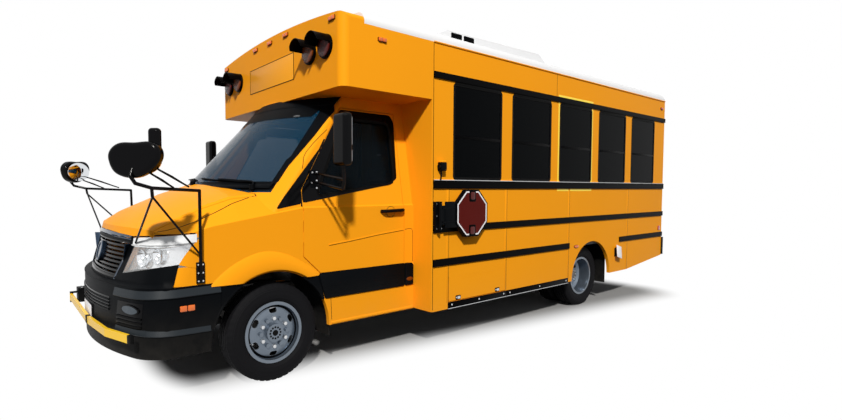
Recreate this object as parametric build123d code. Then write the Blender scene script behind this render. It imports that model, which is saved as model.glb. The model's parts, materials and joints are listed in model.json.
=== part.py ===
"""Small battery-electric school bus: a van cab with a wide passenger body behind it.

Millimetres.  +X is forward, +Y is the vehicle's left, +Z is up, z = 0 is the ground.
Places are first written from the front axle (station 0, rearward negative).  Every piece is
then moved by FRONT_AXLE_X, so that the origin is under the middle of the whole vehicle.
"""
import os
from math import sqrt

from build123d import *

# ---------------------------------------------------------------- driving dimensions
FRONT_REACH = 1190.0        # front axle to the foremost tip
REAR_REACH = 6440.0         # front axle to the rear bumper's face
FRONT_AXLE_X = (REAR_REACH - FRONT_REACH) / 2
WHEELBASE = 4300.0

TYRE_RADIUS = 384.0
TYRE_WIDTH = 215.0
RIM_RADIUS = 223.0
RIM_FLANGE_RADIUS = 238.0
FRONT_TYRE_Y = 843.0
REAR_OUTER_TYRE_Y = 983.0
DUAL_SPACING = 250.0
KINGPIN_Y = 672.0
STUD_CIRCLE = 222.25
STUD_COUNT = 6
RUNNING_CLEARANCE = 0.05

BODY_HALF = 1219.0          # half the width of the passenger body
BODY_FRONT_X = -1450.0
BODY_REAR_X = -6361.0
BODY_WALL = 40.0
SKIRT_Z = 385.0
SIDE_TOP_Z = 2825.0
ROOF_CORNER = 100.0
ROOF_CROWN_Z = 3000.0
ROOF_FRONT_X = -670.0
FLOOR_TOP_Z = 850.0
FLOOR_THICKNESS = 50.0

WINDOW_BOTTOM_Z = 1592.0
WINDOW_TOP_Z = 2496.0
WINDOW_LENGTH = 729.0
WINDOW_PITCH = 897.0
FIRST_WINDOW_X = -2075.0    # middle of the first window
WINDOW_COUNT = 5
WINDOW_CORNER = 35.0
GLASS = 8.0

CAB_HALF = 985.0
CAB_WALL = 40.0
CAB_BOTTOM_Z = 370.0
FRONT_ARCH_RADIUS = 497.0
REAR_ARCH_RADIUS = 470.0
ARCH_Z = 375.0

CAP_FRONT_X = -452.0
CAP_BOTTOM_Z = 2312.0
CAP_LIP_Z = 2885.0
CAP_WALL = 30.0

PANEL_GAP = 6.0
SEAT = 0.3                  # gap where a piece is seated on a curved neighbour


# ---------------------------------------------------------------- helpers
def along_y(face, low, high):
    """Extrude a face drawn in X and Z from Y low to Y high."""
    return Pos(0, low, 0) * extrude(Plane.XZ * face, amount=low - high)


def along_x(face, low, high):
    """Extrude a face drawn in Y and Z from X low to X high."""
    return Pos(low, 0, 0) * extrude(Plane.YZ * face, amount=high - low)


def along_z(face, low, high):
    """Extrude a face drawn in X and Y from Z low to Z high."""
    return Pos(0, 0, low) * extrude(face, amount=high - low)


def block(x, y, z):
    """Box between the low and high values given for each axis."""
    size = [pair[1] - pair[0] for pair in (x, y, z)]
    middle = [(pair[0] + pair[1]) / 2 for pair in (x, y, z)]
    return Pos(*middle) * Box(*size)


def polygon(*points):
    """Flat face with straight edges through the points."""
    return make_face(Polyline(*points, close=True))


def rounded(low, high, radius):
    """Rectangle with rounded corners between two opposite corners."""
    middle = ((low[0] + high[0]) / 2, (low[1] + high[1]) / 2)
    return Pos(*middle) * RectangleRounded(high[0] - low[0], high[1] - low[1], radius)


def cylinder_y(radius, x, z, low, high):
    """Cylinder about an axis along Y, between two Y values."""
    return Pos(x, (low + high) / 2, z) * Rot(90, 0, 0) * Cylinder(radius, high - low)


def cylinder_z(radius, x, y, low, high):
    """Cylinder about a vertical axis, between two Z values."""
    return Pos(x, y, (low + high) / 2) * Cylinder(radius, high - low)


def cylinder_x(radius, y, z, low, high):
    """Cylinder about an axis along X, between two X values."""
    return Pos((low + high) / 2, y, z) * Rot(0, 90, 0) * Cylinder(radius, high - low)


def mirrored(shape):
    """The same shape on the vehicle's other side."""
    return mirror(shape, Plane.XZ)


def both_sides(shape):
    """A shape together with its mirror image."""
    return Compound(shape.solids() + mirrored(shape).solids())


def tube(radius, *points):
    """Round bar along straight runs, with a ball at each bend."""
    bar = None
    for start, end in zip(points[:-1], points[1:]):
        run = Vector(*end) - Vector(*start)
        plane = Plane(origin=start, z_dir=run)
        piece = extrude(plane * Circle(radius), amount=run.length)
        bar = piece if bar is None else bar + piece
    for bend in points[1:-1]:
        bar += Pos(*bend) * Sphere(radius)
    return bar


# ---------------------------------------------------------------- cab surfaces
# Plan sections of the nose: height, foremost X on the centre line.
NOSE_LEVELS = ((CAB_BOTTOM_Z, 1085.0), (864.0, 1085.0), (1560.0, 900.0))
NOSE_SAG = 228.0            # how far the front curves back at the cab's side
NOSE_CORNER = 270.0

# Sections across the hood: X, height in the middle, at the fender's top, at the cab's side.
HOOD_SECTIONS = (
    (1110.0, 1140.0, 1060.0, 990.0),
    (1035.0, 1196.0, 1110.0, 1050.0),
    (821.0, 1342.0, 1235.0, 1150.0),
    (503.0, 1480.0, 1380.0, 1240.0),
    (289.0, 1550.0, 1450.0, 1275.0),
    (-234.0, 1600.0, 1500.0, 1355.0),
    (-1460.0, 1600.0, 1500.0, 1355.0),
)
FENDER_TOP_Y = 780.0
HOOD_OUTSIDE_Y = 1100.0

# Plan sections of the greenhouse: height, foremost X on the centre line, half width.
GREENHOUSE_LEVELS = ((1300.0, 525.0, 980.0), (2330.0, -447.0, 800.0))
WINDSHIELD_RADIUS = 1217.0
GREENHOUSE_CORNER = 60.0


def nose_section(level, inset):
    """Plan outline of the nose at one height, moved in by the inset."""
    height, front = level
    half = CAB_HALF - inset
    tip = front - inset
    corner = tip - NOSE_SAG
    bow = ThreePointArc((corner, -half), (tip, 0), (corner, half))
    rear = BODY_FRONT_X - inset
    sides = Polyline((corner, half), (rear, half), (rear, -half), (corner, -half))
    face = make_face([bow, sides])
    corners = [v for v in face.vertices() if v.X > corner - 1]
    return Pos(0, 0, height) * fillet(corners, NOSE_CORNER - inset)


def hood_section(section, inset):
    """Outline across the vehicle under the hood and fender tops."""
    x, middle, top, side = section
    outside = side - (top - side) * (HOOD_OUTSIDE_Y - CAB_HALF) / (CAB_HALF - FENDER_TOP_Y)
    middle, top, outside = middle - inset, top - inset, outside - inset
    crown = ThreePointArc((-FENDER_TOP_Y, top), (0, middle), (FENDER_TOP_Y, top))
    rest = Polyline(
        (FENDER_TOP_Y, top),
        (HOOD_OUTSIDE_Y, outside),
        (HOOD_OUTSIDE_Y, 0),
        (-HOOD_OUTSIDE_Y, 0),
        (-HOOD_OUTSIDE_Y, outside),
        (-FENDER_TOP_Y, top),
    )
    return Plane.YZ.offset(x) * make_face([crown, rest])


def greenhouse_section(level, inset):
    """Plan outline of the windshield and cab sides at one height."""
    height, front, half = level
    half -= inset
    tip = front - inset
    radius = WINDSHIELD_RADIUS - inset
    corner = tip - radius + sqrt(radius ** 2 - half ** 2)
    bow = ThreePointArc((corner, -half), (tip, 0), (corner, half))
    rear = BODY_FRONT_X - inset
    sides = Polyline((corner, half), (rear, half), (rear, -half), (corner, -half))
    face = make_face([bow, sides])
    corners = [v for v in face.vertices() if v.X > corner - 1]
    return Pos(0, 0, height) * fillet(corners, GREENHOUSE_CORNER)


def lower_cab(inset):
    """Solid under the hood, the fenders and the belt line."""
    nose = loft([nose_section(level, inset) for level in NOSE_LEVELS], ruled=True)
    hood = loft([hood_section(section, inset) for section in HOOD_SECTIONS], ruled=True)
    return nose & hood


def greenhouse(inset):
    """Solid behind the windshield and side glass."""
    return loft([greenhouse_section(level, inset) for level in GREENHOUSE_LEVELS], ruled=True)


LOWER_OUTER = lower_cab(0)
LOWER_INNER = lower_cab(CAB_WALL)
GREENHOUSE_OUTER = greenhouse(0)
GREENHOUSE_INNER = greenhouse(CAB_WALL)
BELOW_SILL = block((-1600, 1200), (-1100, 1100), (0, CAB_BOTTOM_Z + 1))
CAB_INSIDE = LOWER_INNER + GREENHOUSE_INNER
LOWER_SHELL = LOWER_OUTER - CAB_INSIDE - BELOW_SILL
UPPER_SHELL = GREENHOUSE_OUTER - CAB_INSIDE - LOWER_OUTER

# ---------------------------------------------------------------- panel regions
DOOR_FRONT_X = -235.0
DOOR_REAR_X = -1312.0
DOOR_BOTTOM_Z = 600.0
DOOR_TOP_Z = 2215.0
HOOD_SIDE_Y = 800.0
HOOD_FRONT_Z = 1160.0
HOOD_REAR_X = -40.0
BUMPER_TOP_Z = 840.0
BUMPER_BOTTOM_Z = 355.0
BUMPER_REAR_X = 430.0
BUMPER_PROUD = 45.0
LAMP_SIDE_X = 590.0


def door_outline():
    """Outline of the cab door's opening, seen from the side."""
    return polygon(
        (DOOR_FRONT_X, 963),
        (DOOR_FRONT_X, 1500),
        (-700, DOOR_TOP_Z),
        (DOOR_REAR_X, DOOR_TOP_Z),
        (DOOR_REAR_X, DOOR_BOTTOM_Z),
        (-430, DOOR_BOTTOM_Z),
        (-430, 780),
    )


def door_window_outline():
    """Outline of the glass in the cab door."""
    face = polygon((-365, 1440), (-720, 2120), (-1238, 2120), (-1230, 1560))
    return fillet(face.vertices(), 45)


def arch_cut(x, radius, low, high):
    """Round cut for a wheel on the left side, open below."""
    round_part = cylinder_y(radius, x, ARCH_Z, low, high)
    below = block((x - radius, x + radius), (low, high), (0, ARCH_Z))
    return round_part + below


FRONT_ARCH = arch_cut(20, FRONT_ARCH_RADIUS, 480, 1300)
FRONT_ARCHES = both_sides(FRONT_ARCH)
DOOR_HOLE = along_y(door_outline(), 500, 1300)
DOOR_HOLES = both_sides(DOOR_HOLE)
LAMP_FACE = polygon((512, 882), (640, 1138), (806, 1150), (1000, 1172), (1000, 975))
LAMP_REGION = along_x(LAMP_FACE, LAMP_SIDE_X, 1200)
LAMP_REGIONS = both_sides(LAMP_REGION)
BUMPER_REGION = block((BUMPER_REAR_X, 1300), (-1100, 1100), (BUMPER_BOTTOM_Z, BUMPER_TOP_Z))
HOOD_REGION = block((HOOD_REAR_X, 1200), (-HOOD_SIDE_Y, HOOD_SIDE_Y), (HOOD_FRONT_Z, 1700))
GRILLE_TOP_Z = HOOD_FRONT_Z - PANEL_GAP
GRILLE_FACE = polygon((-486, 850), (486, 850), (620, GRILLE_TOP_Z), (-620, GRILLE_TOP_Z))
GRILLE_REGION = along_x(GRILLE_FACE, 500, 1200)
GRILLE_HOLE = along_x(offset(GRILLE_FACE, SEAT), 500, 1200)
WINDSHIELD_FACE = polygon((-868, 1480), (868, 1480), (742, 2242), (-742, 2242))
WINDSHIELD_REGION = along_x(WINDSHIELD_FACE, -760, 700)


# ---------------------------------------------------------------- cab panels
def make_cab_shell():
    """Fixed cab structure: pillars, header, rear quarters and sills."""
    front_panels = block((DOOR_FRONT_X, 1300), (-1100, 1100), (0, 1700))
    shell = (LOWER_SHELL - front_panels) + UPPER_SHELL
    return shell - DOOR_HOLES - WINDSHIELD_REGION - FRONT_ARCHES


def make_fenders():
    """Front fenders with the round wheel openings, and the rims round the headlamps."""
    panels = LOWER_SHELL & block((DOOR_FRONT_X, 1300), (-1100, 1100), (0, 1700))
    panels = panels - FRONT_ARCHES - BUMPER_REGION - GRILLE_HOLE
    panels -= both_sides(along_x(offset(LAMP_FACE, SEAT), LAMP_SIDE_X - SEAT, 1200))
    panels -= block((HOOD_REAR_X - PANEL_GAP, 1200), (-HOOD_SIDE_Y - PANEL_GAP, HOOD_SIDE_Y + PANEL_GAP),
                    (HOOD_FRONT_Z - PANEL_GAP, 1700))
    panels -= GREENHOUSE_OUTER
    hinges = None
    for low in (1080, 1250):
        hinge_x = (DOOR_FRONT_X - PANEL_GAP + SEAT, DOOR_FRONT_X + 20)
        hinge = block(hinge_x, (CAB_HALF - 25, CAB_HALF - 2), (low, low + 80))
        hinges = hinge if hinges is None else hinges + hinge
    return panels + both_sides(hinges) + hood_rests()


def hood_rests():
    """Ledges along both fenders on which the closed hood rests."""
    inner_y = HOOD_SIDE_Y - 25
    outer_y = HOOD_SIDE_Y + 30
    below = lower_cab(CAB_WALL + 12)
    rest = (lower_cab(CAB_WALL + SEAT) - below) & block((150, 560), (inner_y, outer_y), (1000, 1600))
    web_box = block((150, 560), (HOOD_SIDE_Y + PANEL_GAP, outer_y), (1000, 1600))
    web = (lower_cab(CAB_WALL - 10) - below) & web_box
    return both_sides(rest + web)


def make_hood():
    """Hood, hinged behind its rear corners."""
    return (LOWER_SHELL & HOOD_REGION) - greenhouse(-PANEL_GAP)


def make_windshield():
    """Bonded windshield, curved round to the pillars."""
    glass = greenhouse(2) - greenhouse(2 + GLASS)
    return (glass & WINDSHIELD_REGION) - LOWER_OUTER


def make_headlamps():
    """Headlamps that wrap round the fenders."""
    return LOWER_SHELL & LAMP_REGIONS


def make_grille():
    """Grille frame with bars across it."""
    frame = LOWER_SHELL & GRILLE_REGION
    opening = along_x(offset(GRILLE_FACE, -32), 500, 1200)
    bars = (lower_cab(12) - lower_cab(30)) & opening
    slots = None
    slot_count = 8
    for index in range(slot_count):
        low = 890 + index * 30
        slot = block((500, 1200), (-700, 700), (low, low + 16))
        slots = slot if slots is None else slots + slot
    return (frame - opening) + (bars - slots)


def bumper_solid(inset):
    """Solid of the front bumper, proud of the nose."""
    section = nose_section((0, 1092 + BUMPER_PROUD), inset)
    return along_z(section, BUMPER_BOTTOM_Z - 10, BUMPER_TOP_Z + 10)


def make_front_bumper():
    """Moulded bumper that reaches back to the front wheel openings."""
    skin = (bumper_solid(0) - bumper_solid(CAB_WALL)) & BUMPER_REGION
    return skin - FRONT_ARCHES


def make_door_left():
    """Driver's door with its window cut out."""
    panel = along_y(offset(door_outline(), -PANEL_GAP), 500, 1300)
    window = along_y(door_window_outline(), 500, 1300)
    return ((LOWER_SHELL + UPPER_SHELL) & panel) - window - FRONT_ARCH


def make_door_glass_left():
    """Glass of the driver's door, in the middle of the door's frame."""
    depth = 14.0
    layer = (lower_cab(depth) + greenhouse(depth)) - (lower_cab(depth + GLASS) + greenhouse(depth + GLASS))
    return layer & along_y(door_window_outline(), 500, 1300)


CAB_FLOOR_TOP_Z = 700.0


def make_cab_floor():
    """Cab floor, the bulkhead in front of the feet, and the cowl under the windshield."""
    floor = block((BODY_FRONT_X, -510), (-935, 935), (CAB_FLOOR_TOP_Z - 40, CAB_FLOOR_TOP_Z))
    heel = block((-535, -510), (-935, 935), (CAB_FLOOR_TOP_Z - 40, 930))
    toe = block((-535, -60), (-935, 935), (930, 960))
    wall = block((-90, -60), (-935, 935), (960, 1330))
    return floor + heel + toe + wall


# ---------------------------------------------------------------- passenger body
DEPARTURE_X = -5243.0
DEPARTURE_Z = 501.0
DOORWAY_FRONT_X = -1560.0
DOORWAY_REAR_X = -2440.0
DOORWAY_TOP_Z = 2500.0
STEP_Z = 420.0
HATCH_X = (-2537.0, -1663.0)
HATCH_Z = (437.0, 672.0)
REAR_DOOR_HALF = 430.0
REAR_DOOR_BOTTOM_Z = 800.0
REAR_DOOR_TOP_Z = 2420.0


def window_centres():
    """Middles of the side windows, front to rear."""
    return [FIRST_WINDOW_X - index * WINDOW_PITCH for index in range(WINDOW_COUNT)]


def window_face(x, grow=0.0):
    """Outline of one side window."""
    half = WINDOW_LENGTH / 2 + grow
    low, high = (x - half, WINDOW_BOTTOM_Z - grow), (x + half, WINDOW_TOP_Z + grow)
    return rounded(low, high, WINDOW_CORNER + grow)


def side_panel(centres):
    """Flat left side wall with its windows and wheel opening."""
    outline = polygon(
        (BODY_FRONT_X, SKIRT_Z - 12),
        (BODY_FRONT_X, SIDE_TOP_Z),
        (BODY_REAR_X, SIDE_TOP_Z),
        (BODY_REAR_X, DEPARTURE_Z),
        (DEPARTURE_X, SKIRT_Z + 5),
    )
    panel = along_y(outline, BODY_HALF - BODY_WALL, BODY_HALF)
    for x in centres:
        panel -= along_y(window_face(x), BODY_HALF - BODY_WALL - 1, BODY_HALF + 1)
    return panel - arch_cut(-WHEELBASE, REAR_ARCH_RADIUS, BODY_HALF - BODY_WALL - 1, BODY_HALF + 1)


def make_side_left():
    """Left wall, with the opening of the luggage hatch."""
    hatch = block(HATCH_X, (BODY_HALF - BODY_WALL - 1, BODY_HALF + 1), HATCH_Z)
    return side_panel(window_centres()) - hatch


def make_side_right():
    """Right wall, with the entrance in place of the first window."""
    doorway = block((DOORWAY_REAR_X, DOORWAY_FRONT_X), (-BODY_HALF - 1, BODY_WALL - BODY_HALF + 1),
                    (0, DOORWAY_TOP_Z))
    panel = mirrored(side_panel(window_centres()[1:])) - doorway
    for low in (620, 1460, 2240):
        span = (low, low + 90)
        depth = (2 - BODY_HALF, 25 - BODY_HALF)
        panel += block((DOORWAY_FRONT_X - PANEL_GAP + SEAT, DOORWAY_FRONT_X + 5), depth, span)
        panel += block((DOORWAY_REAR_X - 5, DOORWAY_REAR_X + PANEL_GAP - SEAT), depth, span)
    return panel


def make_side_glass(centres):
    """Side windows, set flush in the wall."""
    panes = [along_y(window_face(x), BODY_HALF - 12, BODY_HALF - 12 + GLASS) for x in centres]
    return Compound([pane.solid() for pane in panes])


def roof_face(inset):
    """Section of the roof above the side walls."""
    half = BODY_HALF - inset
    edge = ROOF_CROWN_Z - 75 - inset
    crown = ThreePointArc((-half, edge), (0, ROOF_CROWN_Z - inset), (half, edge))
    rest = Polyline((half, edge), (half, SIDE_TOP_Z), (-half, SIDE_TOP_Z), (-half, edge))
    face = make_face([crown, rest])
    corners = [v for v in face.vertices() if v.Y > SIDE_TOP_Z + 1]
    return fillet(corners, ROOF_CORNER - inset)


def make_roof():
    """Curved roof skin over the body and the rear of the front cap."""
    skin = roof_face(0) - roof_face(BODY_WALL)
    return along_x(skin, BODY_REAR_X, ROOF_FRONT_X - 2)


def make_rear_wall():
    """Rear wall between the side walls, with the emergency door's opening."""
    half = BODY_HALF - BODY_WALL
    outline = polygon((-half, DEPARTURE_Z), (half, DEPARTURE_Z), (half, SIDE_TOP_Z), (-half, SIDE_TOP_Z))
    face = outline + (roof_face(BODY_WALL))
    wall = along_x(face, BODY_REAR_X, BODY_REAR_X + BODY_WALL)
    wall -= block((BODY_REAR_X - 1, BODY_REAR_X + BODY_WALL + 1), (-REAR_DOOR_HALF, REAR_DOOR_HALF),
                  (REAR_DOOR_BOTTOM_Z, REAR_DOOR_TOP_Z))
    for side in (-1, 1):
        window = rear_window_face(side)
        wall -= along_x(window, BODY_REAR_X - 1, BODY_REAR_X + BODY_WALL + 1)
    return wall


def rear_window_face(side):
    """Outline of a fixed window beside the emergency door."""
    low, high = sorted((side * 560, side * 1050))
    return rounded((low, 1592), (high, 2380), 40)


def make_body_glass():
    """Side windows, and the fixed windows beside the emergency door."""
    left = make_side_glass(window_centres())
    right = mirrored(make_side_glass(window_centres()[1:]))
    panes = [along_x(rear_window_face(side), BODY_REAR_X + 4, BODY_REAR_X + 4 + GLASS) for side in (-1, 1)]
    return Compound(left.solids() + right.solids() + [pane.solid() for pane in panes])


def rear_door_window_face():
    """Outline of the window in the emergency door."""
    return rounded((-330, 1592), (330, 2330), 40)


def make_rear_door():
    """Emergency door with an upper window opening."""
    gap = PANEL_GAP
    door = block((BODY_REAR_X, BODY_REAR_X + BODY_WALL), (-REAR_DOOR_HALF + gap, REAR_DOOR_HALF - gap),
                 (REAR_DOOR_BOTTOM_Z + gap, REAR_DOOR_TOP_Z - gap))
    door -= along_x(rear_door_window_face(), BODY_REAR_X - 1, BODY_REAR_X + BODY_WALL + 1)
    handle = block((BODY_REAR_X - 45, BODY_REAR_X), (250, 370), (1330, 1370))
    return door + handle


def make_rear_door_glass():
    """Window of the emergency door."""
    return along_x(rear_door_window_face(), BODY_REAR_X + 4, BODY_REAR_X + 4 + GLASS)


def make_floor():
    """Passenger floor with the entrance steps let into its right front corner."""
    half = BODY_HALF - BODY_WALL
    rear = BODY_REAR_X + BODY_WALL
    floor = block((rear, BODY_FRONT_X), (-half, half), (FLOOR_TOP_Z - FLOOR_THICKNESS, FLOOR_TOP_Z))
    well_y = -half + 620
    well = (DOORWAY_REAR_X, DOORWAY_FRONT_X)
    floor -= block(well, (-half - 1, well_y), (0, FLOOR_TOP_Z + 1))
    rise = (FLOOR_TOP_Z - STEP_Z) / 2
    lower = block(well, (-half, -half + 310), (STEP_Z - 30, STEP_Z))
    riser = block(well, (-half + 310, -half + 330), (STEP_Z - 30, STEP_Z + rise))
    upper = block(well, (-half + 330, well_y), (STEP_Z + rise - 30, STEP_Z + rise))
    top = block(well, (well_y - 20, well_y), (STEP_Z + rise, FLOOR_TOP_Z))
    return floor + lower + riser + upper + top


# ---------------------------------------------------------------- front cap
CAP_CORNER = 70.0
FLARE_FRONT_X = -1425.0
FLARE_REAR_X = -1430.0


def cap_plan(inset):
    """Plan outline of the cap over the cab."""
    half = BODY_HALF - inset
    front = CAP_FRONT_X - inset
    face = polygon((front, -half), (front, half), (BODY_FRONT_X + 0.5, half), (BODY_FRONT_X + 0.5, -half))
    corners = [v for v in face.vertices() if v.X > front - 1]
    return fillet(corners, CAP_CORNER - inset)


def make_roof_cap():
    """Hollow cap over the cab, with the flares that widen the cab to the body."""
    outer = along_z(cap_plan(0), CAP_BOTTOM_Z, SIDE_TOP_Z)
    inner = along_z(cap_plan(CAP_WALL), CAP_BOTTOM_Z + CAP_WALL, SIDE_TOP_Z + 1)
    cap = outer - inner
    headroom = greenhouse_section((0, -447.0, 800.0), CAB_WALL)
    cap -= along_z(headroom, CAP_BOTTOM_Z - 1, CAP_BOTTOM_Z + CAP_WALL + 1)
    lip_face = roof_lip_face()
    lip = along_x(lip_face, ROOF_FRONT_X, CAP_FRONT_X) & along_z(cap_plan(0), SIDE_TOP_Z, 3100)
    flare_plan = polygon(
        (FLARE_FRONT_X, 700),
        (FLARE_FRONT_X, CAB_HALF),
        (FLARE_REAR_X, BODY_HALF),
        (BODY_FRONT_X + 0.5, BODY_HALF),
        (BODY_FRONT_X + 0.5, 700),
    )
    flare = along_z(flare_plan, SKIRT_Z - 8, CAP_BOTTOM_Z)
    flare -= LOWER_OUTER + GREENHOUSE_OUTER
    return cap + lip + both_sides(flare) - (LOWER_OUTER + GREENHOUSE_OUTER)


def roof_lip_face():
    """Section of the solid front lip, from the wall's top to the crown."""
    edge = CAP_LIP_Z
    crown = ThreePointArc((-BODY_HALF, edge), (0, edge + 78), (BODY_HALF, edge))
    left, right = (BODY_HALF, SIDE_TOP_Z), (-BODY_HALF, SIDE_TOP_Z)
    rest = Polyline((BODY_HALF, edge), left, right, (-BODY_HALF, edge))
    face = make_face([crown, rest])
    corners = [v for v in face.vertices() if v.Y > SIDE_TOP_Z + 1]
    return fillet(corners, 40)


# ---------------------------------------------------------------- outside fittings
RAIL_PROUD = 14.0
# Rub rails on each side: low Z, high Z, rear X, front X.
RUB_RAILS = (
    (2508, 2565, BODY_REAR_X, BODY_FRONT_X),
    (1511, 1585, BODY_REAR_X, BODY_FRONT_X),
    (1105, 1170, BODY_REAR_X, BODY_FRONT_X),
    (792, 858, -3750, BODY_FRONT_X),
    (792, 858, BODY_REAR_X, -5012),
)


def make_rub_rails():
    """Rub rails along both walls, left out across the entrance."""
    rails = []
    for low, high, rear, front in RUB_RAILS:
        rails.append(block((rear, front), (BODY_HALF, BODY_HALF + RAIL_PROUD), (low, high)))
    left = Compound([rail.solid() for rail in rails])
    doorway = block((DOORWAY_REAR_X - 30, DOORWAY_FRONT_X + 30), (-1300, -1100), (0, 2500))
    right = mirrored(left)
    cut = [piece for rail in right.solids() for piece in (rail - doorway).solids()]
    return Compound(left.solids() + cut)


def make_rear_bumper():
    """Channel bumper across the rear."""
    outer = block((-REAR_REACH, BODY_REAR_X), (-BODY_HALF - 10, BODY_HALF + 10), (511, 772))
    outer = fillet([e for e in outer.edges().filter_by(Axis.Z) if e.center().X < BODY_REAR_X - 40], 35)
    return outer


def make_roof_unit():
    """Roof-top air conditioner under a low fairing."""
    half = 800.0
    front, back = ((-1780, 2935), (-1780, 3010)), ((-3880, 3060), (-3880, 2935))
    profile = polygon(*front, (-2060, 3150), (-3700, 3175), *back)
    fairing = along_y(profile, -half, half)
    under = along_x(roof_face(0), -4000, -1500)
    return fairing - under


def octagon(across_flats):
    """Regular octagon with two flat sides upright."""
    return RegularPolygon(across_flats / 2, 8, major_radius=False, rotation=22.5)


STOP_HINGE_X = -1480.0
STOP_HINGE_Y = 1280.0
STOP_CENTRE_X = -1895.0
STOP_Z = 1277.0
STOP_SIZE = 446.0
STOP_PLATE_Y = (1262.0, 1302.0)


def make_stop_bracket():
    """Bracket and drive box that carry the stop arm."""
    base = block((-1535, -1452), (BODY_HALF + RAIL_PROUD, BODY_HALF + RAIL_PROUD + 20), (1125, 1392))
    low = cylinder_z(14, STOP_HINGE_X, STOP_HINGE_Y, 1130, 1150)
    high = cylinder_z(14, STOP_HINGE_X, STOP_HINGE_Y, 1367, 1387)
    ears = block((-1494, -1466), (BODY_HALF + RAIL_PROUD + 15, STOP_HINGE_Y), (1130, 1150))
    ears += block((-1494, -1466), (BODY_HALF + RAIL_PROUD + 15, STOP_HINGE_Y), (1367, 1387))
    feet = block((-1535, -1452), (BODY_HALF, BODY_HALF + RAIL_PROUD), (1176, 1392))
    return base + ears + low + high + feet


def make_stop_arm():
    """Octagonal stop arm folded along the wall."""
    plate = along_y(Pos(STOP_CENTRE_X, STOP_Z) * octagon(STOP_SIZE), *STOP_PLATE_Y)
    carrier = block((STOP_CENTRE_X - 150, STOP_HINGE_X), (1262, 1292), (1180, 1356))
    knuckle = cylinder_z(14, STOP_HINGE_X, STOP_HINGE_Y, 1150 + SEAT, 1367 - SEAT)
    return plate + carrier + knuckle


CROSSING_HINGE = (1160.0, -830.0)
CROSSING_Z = (490.0, 545.0)


def make_crossing_bracket():
    """Housing at the bumper's right end that turns the crossing arm."""
    x, y = CROSSING_HINGE
    low, high = CROSSING_Z
    housing = block((x - 270, x - 45), (y - 40, y + 60), (low - 20, high + 55))
    ears = block((x - 50, x + 12), (y - 16, y + 16), (low - 20, low - 6))
    ears += block((x - 50, x + 12), (y - 16, y + 16), (high + 6, high + 20))
    return (housing + ears) - bumper_solid(-SEAT)


def make_crossing_arm():
    """Long bar folded across the bumper, bent back at its free end."""
    x, y = CROSSING_HINGE
    low, high = CROSSING_Z
    plan = Polyline((x, y), (x + 5, 150), (x - 40, 620), (x - 140, 930))
    bar = along_z(make_face(trace(plan, 22).face().outer_wire()), low, high)
    return bar + cylinder_z(14, x, y, low - 6 + SEAT, high + 6 - SEAT)


# Cross-view mirror: outline across its back (along it, up), from its own middle.
MIRROR_OUTLINE = (
    (-153, 0), (-140, 66), (-92, 100), (0, 104), (118, 100), (150, 66), (153, 12), (104, -52),
    (20, -98), (-50, -100), (-118, -70),
)
MIRROR_PLACE = (1046.0, 1286.0, 1672.0)
MIRROR_TURN = 49.5          # of the mirror's back, from straight ahead


def mirror_head():
    """Rounded shell of a cross-view mirror, at its place on the left."""
    outline = make_face(Plane.YZ * Spline(*[(a, b) for a, b in MIRROR_OUTLINE], periodic=True))
    shell = extrude(outline, amount=40, both=True)
    shell = fillet(shell.edges(), 26)
    return Pos(*MIRROR_PLACE) * Rot(0, 0, MIRROR_TURN) * shell


def make_mirror_arms_left():
    """Tube frame ahead of the fender with the cross-view mirror."""
    foot = block((560, 616), (CAB_HALF - 20, CAB_HALF + 14), (852, 999))
    elbow, node, bend = (596, 1027, 1495), (959, 1262, 1512), (1058, 1302, 1539)
    knot = (952, 1246, 1458)
    arms = tube(11, (588, CAB_HALF + 20, 900), elbow, node, bend, (1086, 1316, 1580), (1066, 1300, 1640))
    arms += tube(10, node, knot)
    arms += tube(7, (594, 1012, 1055), knot) + tube(7, (925, 655, 1128), knot)
    return (foot + arms + mirror_head()) - lower_cab(-SEAT) - bumper_solid(-SEAT)


def make_cross_view_mirrors():
    """Both mirror frames; the left one also carries a small upright housing behind its mirror."""
    left = make_mirror_arms_left()
    housing = Pos(951, 1327, 1782) * Rot(0, 0, MIRROR_TURN) * Box(50, 72, 164)
    housing = fillet(housing.edges(), 22)
    return Compound([(left + housing).solid(), mirrored(left).solid()])


def make_door_mirror_left():
    """Tall mirror standing on a loop arm from the door's front corner."""
    head = block((-392, -312), (1290, 1455), (1680, 2070))
    head = fillet(head.edges(), 28)
    foot, turn = (-352, 1372, 1508), (-352, 1388, 1545)
    arms = tube(11, (-345, 920, 1572), foot, turn, (-352, 1380, 1700))
    arms += tube(11, (-372, 900, 1640), (-352, 1384, 1578))
    return (head + arms) - greenhouse(-SEAT) - lower_cab(-SEAT)


def hooded_lamp(x, y, z, facing):
    """Round lamp with a visor, pointing forward or to the rear."""
    low, high = sorted((x, x + facing * 45))
    lens = cylinder_x(85, y, z, low, high)
    low, high = sorted((x, x + facing * 155))
    ring = cylinder_x(96, y, z, low, high) - cylinder_x(86, y, z, low - 1, high + 1)
    visor = ring & block((low, high), (y - 100, y + 100), (z - 10, z + 100))
    back = cylinder_x(98, y, z, min(x, x + facing * 20), max(x, x + facing * 20))
    return lens + visor + back


WARNING_Y = (745.0, 995.0)
WARNING_Z = 2655.0


def make_warning_lamps():
    """Flashing lamps at the top of the front cap and of the rear wall."""
    lamps = []
    for y in WARNING_Y:
        lamps.append(hooded_lamp(CAP_FRONT_X, y, WARNING_Z, 1))
        lamps.append(hooded_lamp(BODY_REAR_X, y, WARNING_Z, -1))
    left = Compound([lamp.solid() for lamp in lamps])
    return both_sides(left)


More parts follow.
